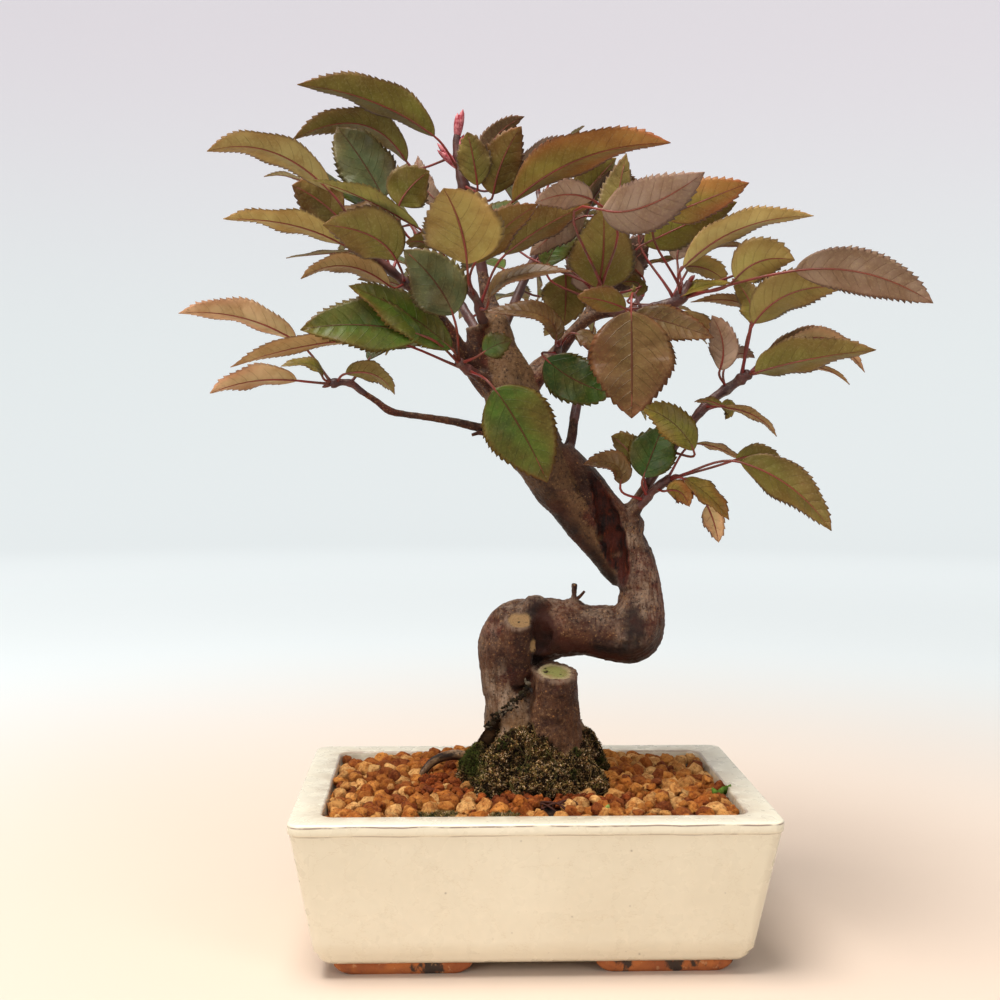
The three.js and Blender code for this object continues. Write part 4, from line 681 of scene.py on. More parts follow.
class Finish:
    """A material with its shader, and short names for the nodes that the finishes use."""

    def __init__(self, name, roughness, **settings):
        self.material = bpy.data.materials.new(name)
        self.material.use_nodes = True
        self.tree = self.material.node_tree
        self.shader = self.tree.nodes["Principled BSDF"]
        self.shader.inputs["Roughness"].default_value = roughness
        for key, value in settings.items():
            self.shader.inputs[key.replace("_", " ").title().replace("Ior", "IOR")].default_value = value
        self.place = self.node("ShaderNodeTexCoord").outputs["Object"]

    def node(self, kind, inputs=None, **settings):
        node = self.tree.nodes.new(kind)
        for key, value in settings.items():
            setattr(node, key, value)
        for key, value in (inputs or {}).items():
            self.feed(node.inputs[key], value)
        return node

    def feed(self, socket, value):
        if isinstance(value, bpy.types.NodeSocket):
            self.tree.links.new(value, socket)
        else:
            socket.default_value = linear(value) if isinstance(value, str) else value

    def noise(self, size, detail=4, stretch=(1, 1, 1), rough=0.55):
        """Noise with features of a size in millimetres."""
        at = self.node("ShaderNodeMapping", {"Vector": self.place, "Scale": stretch}).outputs[0]
        settings = {"Vector": at, "Scale": 1000 / size, "Detail": detail, "Roughness": rough}
        return self.node("ShaderNodeTexNoise", settings).outputs["Fac"]

    def cells(self, size, feature="F1", source=None):
        """Distance in a pattern of cells of a size in millimetres."""
        settings = {"Vector": source or self.place, "Scale": 1000 / size}
        return self.node("ShaderNodeTexVoronoi", settings, feature=feature).outputs["Distance"]

    def sums(self, operation, a, b=0.0):
        return self.node("ShaderNodeMath", {0: a, 1: b}, operation=operation).outputs[0]

    def times(self, product, *others):
        for other in others:
            product = self.sums("MULTIPLY", product, other)
        return product

    def between(self, value, low, high, to_low=0.0, to_high=1.0):
        """The value stretched so that low to high becomes to_low to to_high, smoothly."""
        settings = {"Value": value, "From Min": low, "From Max": high, "To Min": to_low, "To Max": to_high}
        return self.node("ShaderNodeMapRange", settings, interpolation_type="SMOOTHSTEP").outputs[0]

    def blotches(self, size, detail, low, high, to_low=0.0, to_high=1.0, **shape):
        return self.between(self.noise(size, detail, **shape), low, high, to_low, to_high)

    def dots(self, size, low, high, to_low=1.0, feature="F1", source=None):
        """Marks at the middles or edges of cells: to_low inside them, 0 outside."""
        return self.between(self.cells(size, feature, source), low, high, to_low, 0)

    def mix(self, factor, a, b, blend="MIX"):
        node = self.node("ShaderNodeMix", data_type="RGBA", blend_type=blend)
        for socket, value in zip((node.inputs["Factor"], node.inputs[6], node.inputs[7]), (factor, a, b)):
            self.feed(socket, value)
        return node.outputs[2]

    def layers(self, base, *rows):
        """Colours laid over a base one after another, each as far as the product of its amounts says."""
        for colour, *amounts in rows:
            base = self.mix(self.times(*amounts), base, colour)
        return base

    def value(self, name):
        return self.node("ShaderNodeAttribute", attribute_name=name).outputs["Fac"]

    def tint(self, name):
        return self.node("ShaderNodeAttribute", attribute_name=name).outputs["Color"]

    def bump(self, height, depth):
        """Relief whose full depth is in millimetres; later ones lie over earlier ones."""
        node = self.node("ShaderNodeBump", {"Height": height, "Distance": depth * 0.001, "Strength": 1.0})
        before = self.shader.inputs["Normal"].links
        if before:
            self.feed(node.inputs["Normal"], before[0].from_socket)
        self.feed(self.shader.inputs["Normal"], node.outputs[0])

    def done(self, colour, roughness=None):
        self.feed(self.shader.inputs["Base Color"], colour)
        if roughness is not None:
            self.feed(self.shader.inputs["Roughness"], roughness)
        return self.material


def glaze_finish():
    f = Finish("cream_glaze", 0.3, coat_weight=0.25, coat_roughness=0.12)
    # A fine crackle, drawn on a warped and upright pattern, and small specks
    warped = f.mix(0.006, f.place, f.node("ShaderNodeTexNoise", {"Scale": 60.0}).outputs["Color"])
    tall = f.node("ShaderNodeMapping", {"Vector": warped, "Scale": (1, 1, 0.45)}).outputs[0]
    base = f.layers(
        "#dfd6bf",
        ("#d8ceb6", f.blotches(60, 2, 0.3, 0.7)),
        ("#a98f63", f.dots(13, 0.0, 0.012, 0.2, "DISTANCE_TO_EDGE", tall)),
        ("#4a3524", f.dots(6, 0.0, 0.12), f.blotches(15, 2, 0.54, 0.6), 0.6))
    # Lines where the glaze breaks: the rim's edge, and the step under the band
    height = f.times(f.node("ShaderNodeSeparateXYZ", {"Vector": f.place}).outputs[2], 1000.0)
    wander = f.blotches(20, 2, 0.3, 0.7, -0.25, 0.25)
    broken = f.blotches(9, 5, 0.38, 0.54, 0.1, 1)
    for level, strength in ((POT["height"] - 0.9, 0.8), (POT["height"] - POT["band"] + 0.35, 0.45)):
        off = f.sums("ABSOLUTE", f.sums("SUBTRACT", f.sums("ADD", height, wander), level))
        line = f.between(off, 0.1, 0.42, 1, 0)
        base = f.layers(base, ("#6e5048", line, broken, f.value("outside"), strength))
    base = f.layers(
        base,
        ("#76584e", f.value("edge"), broken, 0.6),
        ("#8a6a48", f.value("grime"), f.blotches(7, 4, 0.3, 0.65, 0.1, 0.8)))
    f.bump(f.noise(14, 2), 0.3)
    return f.done(base, f.blotches(9, 3, 0.3, 0.75, 0.22, 0.4))


def fired_clay_finish():
    f = Finish("fired_clay_foot", 0.85)
    f.bump(f.noise(1.6, 5), 0.3)
    return f.done(f.layers(
        "#b06632",
        ("#94502a", f.blotches(9, 4, 0.35, 0.65)),
        ("#3a2c22", f.blotches(13, 5, 0.52, 0.6, stretch=(1, 1, 0.5), rough=0.7)),
        ("#c99a6c", f.blotches(2.5, 3, 0.6, 0.7, 0, 0.5))))


def grain_finish():
    f = Finish("baked_clay_grain", 0.95, specular_ior_level=0.2)
    tone = f.tint("tone")
    dust = f.noise(0.9, 4, rough=0.7)
    f.bump(f.noise(1.3, 5, rough=0.75), 1.3)
    return f.done(f.layers(
        tone,
        (f.mix(1.0, tone, "#b0845c", "MULTIPLY"), f.blotches(2.6, 3, 0.36, 0.66, 0, 0.75)),
        (f.mix(1.0, tone, "#7c5434", "SCREEN"), f.between(dust, 0.52, 0.68, 0, 0.5)),
        ("#3a1a0c", f.between(dust, 0.32, 0.46, 0.75, 0))))


def soil_bed_finish():
    f = Finish("dark_soil_bed", 1.0)
    f.bump(f.noise(1.2, 5), 0.7)
    return f.done(f.layers(
        "#1d120b",
        ("#3a2011", f.blotches(2.2, 5, 0.35, 0.65)),
        ("#22260f", f.blotches(7, 4, 0.5, 0.62, 0, 0.8))))


def bark_finish():
    f = Finish("apple_bark", 0.5, specular_ior_level=0.2)
    relief, lichen, ring = f.value("relief"), f.value("lichen"), f.value("ring")
    broad, fleck = f.noise(13, 3), f.noise(1.3, 4, rough=0.8)
    streaks = f.noise(1.6, 4, (1, 1, 0.14), 0.7)
    # Pale film on the bark, partly real and partly painted sheen where the bark faces the light
    film_and_sheen = (f.between(streaks, 0.36, 0.6, 0.15, 1), f.blotches(6, 4, 0.34, 0.58, rough=0.7), f.value("grey"))
    # Browns of the painted shade, also used for the front stub's darker bark
    shade_browns = f.mix(f.between(broad, 0.4, 0.62), "#140805", "#34140a")
    # Inside the hollow: dark rotten wood deepened with painted shade, and rust streaks
    inside = f.layers(
        "#150503",
        ("#481a0d", f.blotches(4, 5, 0.4, 0.6, stretch=(1, 1, 0.25), rough=0.7)),
        ("#7a3616", f.between(streaks, 0.58, 0.7, 0, 0.5)))
    year_rings = f.sums("SINE", f.times(ring, 7.0))
    face = f.layers(
        "#9a7850",
        ("#8a8a4e", f.between(broad, 0.36, 0.52), f.between(lichen, 0.02, 0.15)),
        ("#b09c78", f.between(ring, 4.0, 6.4)),
        ("#6d5330", f.between(year_rings, 0.2, 1.0, 0, 0.25)),
        ("#7a6038", f.between(fleck, 0.5, 0.62, 0, 0.5)),
        ("#2c1a0e", f.blotches(3, 3, 0.6, 0.66)))
    base = f.layers(
        "#3a1b10",
        ("#5c361f", f.between(broad, 0.36, 0.64)),
        ("#5c2213", f.blotches(17, 2, 0.5, 0.62), 0.6),
        ("#765838", f.between(broad, 0.34, 0.52), lichen),
        # Painted highlight on the raised relief
        ("#74523a", f.between(relief, 0.0, 0.6, 0, 0.5)),
        # Pale film with painted sheen
        ("#aa9078", *film_and_sheen, 0.8),
        ("#160904", f.between(fleck, 0.35, 0.48, 0.9, 0)),
        ("#96704c", f.between(fleck, 0.55, 0.66, 0, 0.7)),
        ("#a87c4c", f.dots(1.5, 0.1, 0.24), f.blotches(5, 2, 0.44, 0.54), 0.75),
        ("#b47a44", f.dots(4.2, 0.05, 0.12), f.between(broad, 0.42, 0.52), 0.9),
        # Painted shade in the sunken relief
        ("#120704", f.between(relief, -0.5, -0.12, 0.9, 0)),
        ("#7a6250", f.value("rim"), f.between(streaks, 0.36, 0.6, 0.1, 0.9)),
        # Painted shade, and the front stub's darker bark
        (shade_browns, f.value("shade_and_dark_stub"), 0.92),
        (inside, f.value("hollow")),
        (face, f.value("cut")))
    f.bump(f.noise(2.4, 5, rough=0.75), 1.0)
    f.bump(fleck, 0.35)
    return f.done(base, f.between(broad, 0.3, 0.7, 0.34, 0.6))


def twig_finish():
    f = Finish("young_twig", 0.5)
    f.bump(f.noise(1.1, 5, (1, 1, 0.6)), 0.22)
    return f.done(f.layers(
        "#3a1a16",
        ("#562a20", f.blotches(7, 4, 0.36, 0.62)),
        ("#6e584a", f.blotches(3, 5, 0.55, 0.68, 0, 0.6)),
        ("#9a7c60", f.dots(1.7, 0.0, 0.14, 0.8))))


def stalk_finish():
    f = Finish("leaf_stalk", 0.42, specular_ior_level=0.4)
    along = f.value("along")
    # Buds have a place along of -1; their lighter pink blotches are painted highlights
    bud = f.layers("#8c2630", ("#b8686a", f.blotches(2, 3, 0.4, 0.6)))
    f.bump(f.noise(0.8, 3), 0.06)
    return f.done(f.layers(
        "#7a201a",
        ("#5a2a1a", f.blotches(9, 3, 0.36, 0.64)),
        ("#7c3a24", f.between(along, 0.1, 1.0)),
        (bud, f.between(along, -1.0, -0.3, 1, 0))))


def leaf_marks(f, slim):
    """Rib and side veins from the blade's own coordinates, with the colour of the blade and its fine net."""
    on_blade = f.node("ShaderNodeUVMap", uv_map="uv").outputs[0]
    uv = f.node("ShaderNodeSeparateXYZ", {"Vector": on_blade}).outputs
    away = f.sums("ABSOLUTE", uv[0])
    rib = f.between(away, 0.012, 0.045 * slim, 1, 0)
    wave = f.sums("ABSOLUTE", f.sums("SUBTRACT", f.sums("FRACT", uv[1]), 0.5))
    side = f.times(f.between(wave, 0.0, 0.06 * slim, 1, 0), f.between(away, 0.55, 1.0, 1, 0.15))
    return rib, side, f.tint("tone"), f.noise(0.9, 2, rough=0.7)


def leaf_top_finish():
    f = Finish("leaf_top", 0.4, specular_ior_level=0.2)
    rib, side, tone, net = leaf_marks(f, 0.8)
    f.bump(net, 0.06)
    f.bump(f.sums("SUBTRACT", 1.0, f.sums("MAXIMUM", side, rib)), 0.22)
    return f.done(f.layers(
        tone,
        (f.mix(1.0, tone, "#b0925e", "MULTIPLY"), f.blotches(9, 3, 0.36, 0.66, 0, 0.55)),
        ("#5e4418", f.blotches(3.2, 3, 0.5, 0.72, 0, 0.25)),
        (f.mix(1.0, tone, "#7a7440", "SCREEN"), f.between(net, 0.5, 0.66, 0, 0.13)),
        (f.mix(1.0, tone, "#5e5a30", "SCREEN"), side, 0.22),
        ("#3a2412", f.dots(3.5, 0.0, 0.07), f.between(net, 0.5, 0.6), 0.7),
        ("#4c1e12", rib, 0.8)))


def leaf_under_finish():
    f = Finish("leaf_underside", 0.6, specular_ior_level=0.25, sheen_weight=0.06, sheen_roughness=0.5)
    rib, side, tone, net = leaf_marks(f, 1.1)
    f.bump(f.sums("MAXIMUM", side, rib), 0.14)
    return f.done(f.layers(
        tone,
        (f.mix(1.0, tone, "#c4a676", "MULTIPLY"), f.blotches(10, 3, 0.36, 0.66, 0, 0.5)),
        ("#74502a", f.blotches(4, 3, 0.52, 0.75, 0, 0.25)),
        (f.mix(0.5, tone, "#b5a56e"), f.between(net, 0.5, 0.66, 0, 0.25)),
        ("#7c4a30", side, 0.08),
        ("#6c2218", rib, 0.9)))


def moss_finish():
    f = Finish("moss", 0.95, specular_ior_level=0.1)
    f.bump(f.noise(0.7, 4), 0.3)
    return f.done(f.layers(f.tint("tone"), ("#2c1c0c", f.blotches(1.4, 4, 0.3, 0.7, 0, 0.4))))


def screen_finish():
    f = Finish("drainage_mesh", 0.6)
    f.bump(f.noise(0.9, 3), 0.15)
    return f.done(f.layers("#343a36", ("#4a4238", f.blotches(3, 4, 0.35, 0.65))))


def floor_finish():
    f = Finish("pale_floor", 0.9)
    height = f.node("ShaderNodeSeparateXYZ", {"Vector": f.place}).outputs[2]
    out = f.node("ShaderNodeVectorMath", {0: f.place}, operation="LENGTH").outputs["Value"]
    base = f.layers(
        "#ccb8a6",
        ("#d6dbdb", f.between(out, 0.12, 0.8)),
        ("#d6d1d5", f.between(height, 0.35, 1.3)))
    # The backdrop glows with painted light, more strongly further out
    f.feed(f.shader.inputs["Emission Color"], base)
    f.feed(f.shader.inputs["Emission Strength"], f.between(out, 0.4, 1.8, 0, 0.5))
    return f.done(base)


# Camera, light and floor

def place_camera():
    yaw, pitch, roll = (math.radians(angle) for angle in (YAW, PITCH, ROLL))
    forward = Vector((math.sin(yaw) * math.cos(pitch), math.cos(yaw) * math.cos(pitch), -math.sin(pitch)))
    right = Vector((math.cos(yaw), -math.sin(yaw), 0))
    up = right.cross(forward)
    across = right * math.cos(roll) + up * math.sin(roll)
    upward = up * math.cos(roll) - right * math.sin(roll)
    data = bpy.data.cameras.new("camera")
    data.lens = LENS
    data.sensor_width = SENSOR
    data.clip_start = 0.01
    data.clip_end = 50
    camera = in_scene("camera", data)
    matrix = Matrix((across, upward, -forward)).transposed().to_4x4()
    matrix.translation = Vector(metres(EYE))
    camera.matrix_world = matrix
    bpy.context.scene.camera = camera


def area_light(name, where, size, power, colour):
    """A round soft light that looks at the middle of the tree."""
    data = bpy.data.lights.new(name, "AREA")
    data.shape = "DISK"
    data.size = size
    data.energy = power
    data.color = linear(colour)[:3]
    light = in_scene(name, data)
    light.location = where
    aim = Vector(LIGHTS_LOOK_AT) - Vector(where)
    light.rotation_euler = aim.to_track_quat("-Z", "Y").to_euler()


def bowl(name, profile, finish):
    """A surface of revolution about the upright axis, in metres, for the floor and the backdrop."""
    angles = turns(96)
    points = np.array([[(r * math.cos(a), r * math.sin(a), z) for a in angles] for r, z in profile])
    at = closed_grid(len(profile), len(angles))
    faces = grid_quads(at, flipped=True).tolist()
    if profile[0][0] < 0.01:
        faces.append(at[0, :-1].tolist())
    mesh = bpy.data.meshes.new(name)
    mesh.from_pydata(points.reshape(-1, 3).tolist(), [], faces)
    mesh.shade_smooth()
    mesh.materials.append(finish)
    obj = in_scene(name, mesh)
    return obj


def make_studio():
    """A floor, a backdrop that throws no light on the model, and soft light from above and in front."""
    finish = floor_finish()
    bowl("floor", FLOOR, finish)
    start = BACKDROP_FOOT[-1][0]
    bend = [(start + BACKDROP_BEND * math.sin(a), BACKDROP_BEND - BACKDROP_BEND * math.cos(a))
            for a in np.linspace(0.1, math.pi / 2, 14)]
    backdrop = bowl("backdrop", BACKDROP_FOOT + bend + BACKDROP_TOP, finish)
    backdrop.visible_diffuse = False
    backdrop.visible_glossy = False
    backdrop.visible_shadow = False
    world = bpy.data.worlds.new("studio")
    world.use_nodes = True
    background = world.node_tree.nodes["Background"]
    background.inputs["Color"].default_value = linear(SKY["colour"])
    background.inputs["Strength"].default_value = SKY["strength"]
    bpy.context.scene.world = world
    for row in LIGHTS:
        area_light(*row)
    bpy.context.scene.view_settings.view_transform = "Standard"


# Pot

def rounded_level(half_x, half_y, radius, z, per_corner=9, per_side=10):
    """A rectangle with rounded corners at one height."""
    corners = []
    for sx, sy, start in ((1, -1, -90), (1, 1, 0), (-1, 1, 90), (-1, -1, 180)):
        angles = np.radians(start + np.linspace(0, 90, per_corner))
        corners.append(np.stack((sx * (half_x - radius) + radius * np.cos(angles),
                                 sy * (half_y - radius) + radius * np.sin(angles),
                                 np.full(per_corner, z)), axis=1))
    ring = []
    for corner, following in zip(corners, corners[1:] + corners[:1]):
        ring += [corner, np.linspace(corner[-1], following[0], per_side + 2)[1:-1]]
    return np.vstack(ring)


def inner_half(z):
    """Half lengths of the cavity at a height."""
    drawn_in = POT["rim"] + POT["inner_lean"] * (POT["height"] - z) / (POT["height"] - POT["floor"])
    return POT["width"] / 2 - drawn_in, POT["depth"] / 2 - drawn_in


def pot_wall(inset, z):
    return rounded_level(POT["width"] / 2 - inset, POT["depth"] / 2 - inset, POT["corner"] - inset * 0.15, z)


def pot_body():
    """The glazed body, with values for where its glaze thins and darkens."""
    height, low, step = POT["height"], POT["foot_height"], POT["step"]
    band = height - POT["band"]

    def lean(z):
        return step + (POT["lean"] - step) * (band - z) / (band - low)

    round_over = [(POT["lip"] * (1 - math.cos(a)), height - POT["lip"] * (1 - math.sin(a)))
                  for a in np.linspace(0, math.pi / 2, 6)]
    turn = POT["edge_round"]
    profile = [(lean(low) + turn * (1 - math.sin(a)) * 0.9, low + turn * (1 - math.cos(a)))
               for a in np.linspace(0, math.pi / 2, 7)[:-1]]
    profile += [(lean(z), z) for z in np.linspace(low + turn, band - 0.2, 12)]
    profile += [(inset, band + rise) for inset, rise in BAND_STEP]
    outer = lofted([pot_wall(inset, z) for inset, z in profile + round_over])

    levels = [(0.0, POT["floor"])] + [(0.0, z) for z in np.linspace(POT["floor"] + 6, height - 1.5, 8)]
    cavity = []
    for out, z in levels + round_over + [(1.4, height + 1)]:
        half_x, half_y = inner_half(min(z, height))
        cavity.append(rounded_level(half_x + out, half_y + out, POT["inner_corner"], z))
    drains = []
    for side in (-1, 1):
        circle = [(side * DRAIN_X + DRAIN_HOLE * math.cos(a), DRAIN_HOLE * math.sin(a)) for a in turns(32)]
        drains.append(lofted([[(x, y, z) for x, y in circle] for z in (0, POT["floor"] + 2)]))
    body, _ = shaped(outer, cut(lofted(cavity)), cut(joined(drains)))

    x, y, z = np.abs(body["points"][:, 0]), np.abs(body["points"][:, 1]), body["points"][:, 2]
    half_x, half_y = inner_half(height)
    near_outer = np.minimum(POT["width"] / 2 - x, POT["depth"] / 2 - y)
    reach = THIN_EDGE["reach"]
    under_rim = (z > height - THIN_EDGE["depth"]) & (z < height - THIN_EDGE["top"])
    inner_edge = (x < half_x + reach) & (y < half_y + reach) & under_rim
    inner_wall = (x < half_x + 1.5) & (y < half_y + 1.5) & (z > POT["floor"] + 1)
    body.update(edge=1.0 * inner_edge, outside=1.0 * (near_outer < POT["rim"] - 3),
                grime=np.clip(0.55 * inner_wall + 0.5 * (z < low + 1.2), 0, 1),
                slots=np.zeros(face_count(body)))
    return body


def pot_foot(sx, sy):
    """A foot of bare clay: a block that flares out a little where it meets the table."""
    rings = []
    for z, draw in FOOT_OUTLINE:
        x0, x1 = FOOT["inner"] + draw * FOOT["slant"], FOOT["outer"] - draw * FOOT["slant"]
        y0, y1 = FOOT["back"] + draw * FOOT["set_in"], FOOT["front"] - draw * FOOT["set_in"]
        ring = rounded_level((x1 - x0) / 2, (y1 - y0) / 2, FOOT["corner"], z, 5, 8)
        rings.append(ring + (sx * (x0 + x1) / 2, sy * (y0 + y1) / 2, 0))
    foot = lofted(rings)
    foot.update({key: np.zeros(len(foot["points"])) for key in ("edge", "outside", "grime")})
    foot["slots"] = np.ones(face_count(foot))
    return foot


def make_pot():
    feet = [pot_foot(sx, sy) for sx in (-1, 1) for sy in (-1, 1)]
    finishes = [glaze_finish(), fired_clay_finish()]
    piece("glazed_pot", joined([pot_body()] + feet), finishes, ["pot"], 35)


# Soil

def soil_height(x, y):
    off_x, off_y = x / SOIL["mound_x"], (y - SOIL["mound_back"]) / SOIL["mound_y"]
    mound = SOIL["mound"] * np.exp(-off_x ** 2 - off_y ** 2)
    half_x, half_y = inner_half(SOIL["top"])
    edge = np.maximum(np.abs(x) / half_x, np.abs(y) / half_y)
    return SOIL["top"] + mound - SOIL["edge_drop"] * edge ** 6


def make_soil_bed():
    """A dark crumbly block just under the grains, drawn in towards the pot's floor."""
    half_x, half_y = (half - SOIL["room"] for half in inner_half(SOIL["top"]))
    floor_x, floor_y = (half - SOIL["room"] for half in inner_half(POT["floor"]))
    across, deep = BED["across"], BED["deep"]
    gx, gy = np.meshgrid(np.linspace(-1, 1, across) * half_x, np.linspace(-1, 1, deep) * half_y)
    # Round the corners to the pot's own
    corner = POT["inner_corner"]
    into_x = np.maximum(0, np.abs(gx) - half_x + corner)
    into_y = np.maximum(0, np.abs(gy) - half_y + corner)
    over = 0.75 * np.maximum(0, np.hypot(into_x, into_y) - corner + 0.3)
    gx, gy = gx - np.sign(gx) * over, gy - np.sign(gy) * over
    flat = np.stack((gx.ravel(), gy.ravel(), np.zeros(gx.size)), axis=1)
    top = flat.copy()
    relief = BED["lump"] * field(flat, 5) + BED["crumb"] * field(flat, 1.7)
    top[:, 2] = soil_height(flat[:, 0], flat[:, 1]) - BED["sunk"] + relief
    under = flat * (floor_x / half_x, floor_y / half_y, 1)
    under[:, 2] = POT["floor"] + BED["over_floor"]
    count = across * deep
    at = np.arange(count).reshape(deep, across)
    quads = grid_quads(at)
    rim = np.concatenate((at[0, :-1], at[:-1, -1], at[-1, :0:-1], at[:0:-1, 0]))
    after = np.roll(rim, -1)
    skirt = np.stack((rim, rim + count, after + count, after), axis=-1)
    bed = {"points": np.vstack((top, under)), "faces": [quads, quads[:, ::-1] + count, skirt]}
    piece("soil_bed", bed, [soil_bed_finish()], ["soil"])


# Middle and radius of the roots where they enter the soil
ROOT_PLACES = [(centre, radius) for root in ROOTS[:5] for centre, radius in zip(*station_curve(root, 6)[::2])
               if centre[2] < 72]


def trunk_clearance(x, y):
    """Distance from the root base, where no grain lies."""
    near = np.hypot(x - 2, y - 1) - 20
    for centre, radius in ROOT_PLACES:
        near = min(near, math.hypot(x - centre[0], y - centre[1]) - radius * 0.6)
    return near


def inside(x, y, spots):
    return any(((x - cx) / rx) ** 2 + ((y - cy) / ry) ** 2 < 1 for cx, cy, rx, ry in spots)


def scatter(rng, sizes, placed, allowed, closeness):
    """Adds grains, largest first, none closer to another than its size allows."""
    half_x, half_y = inner_half(SOIL["top"])
    radii = np.sort(sizes[0] + (sizes[1] - sizes[0]) * rng.random(GRAIN_TRIES) ** 1.6)[::-1]
    spots = rng.uniform((-half_x, -half_y), (half_x, half_y), (GRAIN_TRIES, 2))
    for (x, y), r in zip(spots, radii):
        if abs(x) > half_x - r * 0.9 or abs(y) > half_y - r * 0.9 or not allowed(x, y, rng.random()):
            continue
        known = np.array(placed).reshape(-1, 3)
        if (np.hypot(known[:, 0] - x, known[:, 1] - y) >= closeness * (known[:, 2] + r)).all():
            placed.append((x, y, r))


def stone(rng, points, size):
    """A crumbly grain: a ball cut by a few planes, stretched, roughened, and turned about the upright."""
    shape = points.copy()
    for normal in unit(rng.normal(size=(6, 3))):
        over = shape @ normal - rng.uniform(0.6, 0.85)
        shape -= np.outer(np.maximum(over, 0), normal)
    shape *= rng.uniform(0.92, 1.25, 3) * (1, 1, 0.92)
    place = shape + rng.uniform(0, 50, 3)
    rough = 0.2 * field(place, 0.75, 2)
    if len(points) > 100:
        rough = rough + 0.1 * field(place, 0.27, 2)
    shape *= (1.02 + rough)[:, None]
    spin = rng.uniform(0, 2 * np.pi)
    turn = np.array(((math.cos(spin), -math.sin(spin), 0), (math.sin(spin), math.cos(spin), 0), (0, 0, 1)))
    return shape @ turn.T * size


def make_grains():
    """Coarse grains over the soil, fine red ones in between and in their own spots, and some piled on top."""
    rng = np.random.default_rng(GRAIN_SEED)

    def free(x, y):
        return trunk_clearance(x, y) > -1.5 and not inside(x, y, BARE)

    def coarse_here(x, y, chance):
        return free(x, y) and (not inside(x, y, FINES) or chance < COARSE_STRAYS)

    def fine_here(x, y, chance):
        return free(x, y) and (inside(x, y, FINES) or chance < FINE_STRAYS)

    grains = []
    scatter(rng, COARSE_SIZES, grains, coarse_here, COARSE_GAP)
    coarse = len(grains)
    scatter(rng, FINE_SIZES, grains, fine_here, FINE_GAP)
    rows = [(x, y, r, 0.0) for x, y, r in grains]
    for x, y, r in grains[:coarse]:
        chosen = rng.random() < PILED["share"] and y < PILED["back"] and not inside(x, y, FINES)
        if chosen and trunk_clearance(x, y) > PILED["from_trunk"]:
            rows.append((x + rng.uniform(-3, 3), y + rng.uniform(-3, 3), r * rng.uniform(0.5, 0.8), r * 0.85))
    half_x, half_y = inner_half(SOIL["top"])
    large, small = ball(3), ball(2)
    shells = []
    for x, y, r, lift in rows:
        x = float(np.clip(x, r - half_x, half_x - r))
        y = float(np.clip(y, r - half_y, half_y - r))
        points, faces = large if r > 1.8 else small
        shape = stone(rng, points, r)
        fine = r < FINE_SIZES[1] + 0.05 and lift == 0
        z = soil_height(x, y) + lift + rng.uniform(-0.5, 0.6) + (-0.4 if fine else 0.2)
        palette = GRAIN_COLOURS
        if fine and inside(x, y, FINES):
            z += 0.9 + rng.uniform(0, 1.4)
            palette = FINE_COLOURS
        base = light_of(palette[int(rng.random() ** 1.2 * len(palette))])
        tone = np.tile(np.append(base * rng.uniform(0.8, 1.2), 1.0), (len(points), 1))
        shells.append({"points": shape + (x, y, z), "faces": [faces], "tone": tone})
    finish = grain_finish()
    for k, letter in enumerate("abc"):
        piece(f"soil_grains_{letter}", joined(shells[k::3]), [finish], ["soil"], 50)


# Trunk

def knob(x, z, y, size):
    points, faces = ball(3)
    return {"points": points * size * (1.15, 0.75, 0.95) + seen(x, z, y), "faces": [faces]}


def stub_shell(stations, face, looks):
    """A limb whose points beyond the sawn face are slid back onto it."""
    centres, ways, radii = station_curve(stations, WOOD["steps"])
    shell = tube(centres, ways, radii, WOOD["sides"], 0.02)
    normal = unit(looks)
    slide = np.vstack((np.repeat(ways, WOOD["sides"], axis=0), ways[:1], ways[-1:]))
    over = np.maximum((shell["points"] - seen(*face)) @ normal, 0)
    shell["points"] -= slide * (over / (slide @ normal))[:, None]
    return shell


def wood_body():
    """The wood as one skin, with the hollow and the dark gap cut in; and the normals of its points."""
    shells = [limb(stations, **WOOD) for stations in [COLUMN, LIMB, SLAB] + ROOTS]
    shells += [stub_shell(*stub) for stub in STUBS]
    shells += [limb(wood + shoot, 6, 16, 0.02, last=len(wood) - 1) for wood, shoot in LIMBS.values()]
    shells += [limb(snag, 5, 14) for snag in SNAGS + [ELBOW]]
    shells += [knob(*row) for row in KNOBS]
    centres, ways, radii = station_curve(HOLLOW, 7)
    radii = radii * (1 + 0.12 * np.sin(np.arange(len(radii)) * 1.3))
    hollow = tube(centres, ways, radii, 18, 0.06)
    recess = limb(RECESS, 7, 16, 0.08)
    return shaped(joined(shells), remesh(CELL), cut(joined([hollow, recess])), remesh(CELL), smooth(3))


def nearest_limb(points):
    """For each point the nearest limb: place across and along it, its radius there, and its number."""
    limbs = [COLUMN, LIMB, SLAB] + ROOTS + [row[0] for row in STUBS] + [wood for wood, _ in LIMBS.values()]
    rows = []
    for number, stations in enumerate(limbs):
        centres, ways, radii = station_curve(stations, 8)
        steps = np.linalg.norm(np.diff(centres, axis=0), axis=1)
        lengths = np.concatenate(([0], np.cumsum(steps))) + 61 * number
        rows.append((centres, *frames_along(ways), lengths, radii, np.full(len(centres), number)))
    centres, acrosses, others, lengths, radii, numbers = (np.concatenate(values) for values in zip(*rows))
    found = np.empty(len(points), dtype=int)
    for start in range(0, len(points), BATCH):
        batch = slice(start, start + BATCH)
        gap = np.linalg.norm(points[batch, None] - centres[None], axis=2) - radii[None]
        found[batch] = gap.argmin(axis=1)
    off = points - centres[found]
    local = np.stack(((off * acrosses[found]).sum(1), (off * others[found]).sum(1), lengths[found]), axis=1)
    return local, radii[found], numbers[found]


def near_curve(points, stations, grow):
    """How deep each point lies inside a limb grown by a margin, 0 outside to 1."""
    centres, _, radii = station_curve(stations, 8)
    gap = np.linalg.norm(points[:, None] - centres[None], axis=2) - radii[None]
    return np.clip(1 - gap.min(axis=1) / grow, 0, 1)


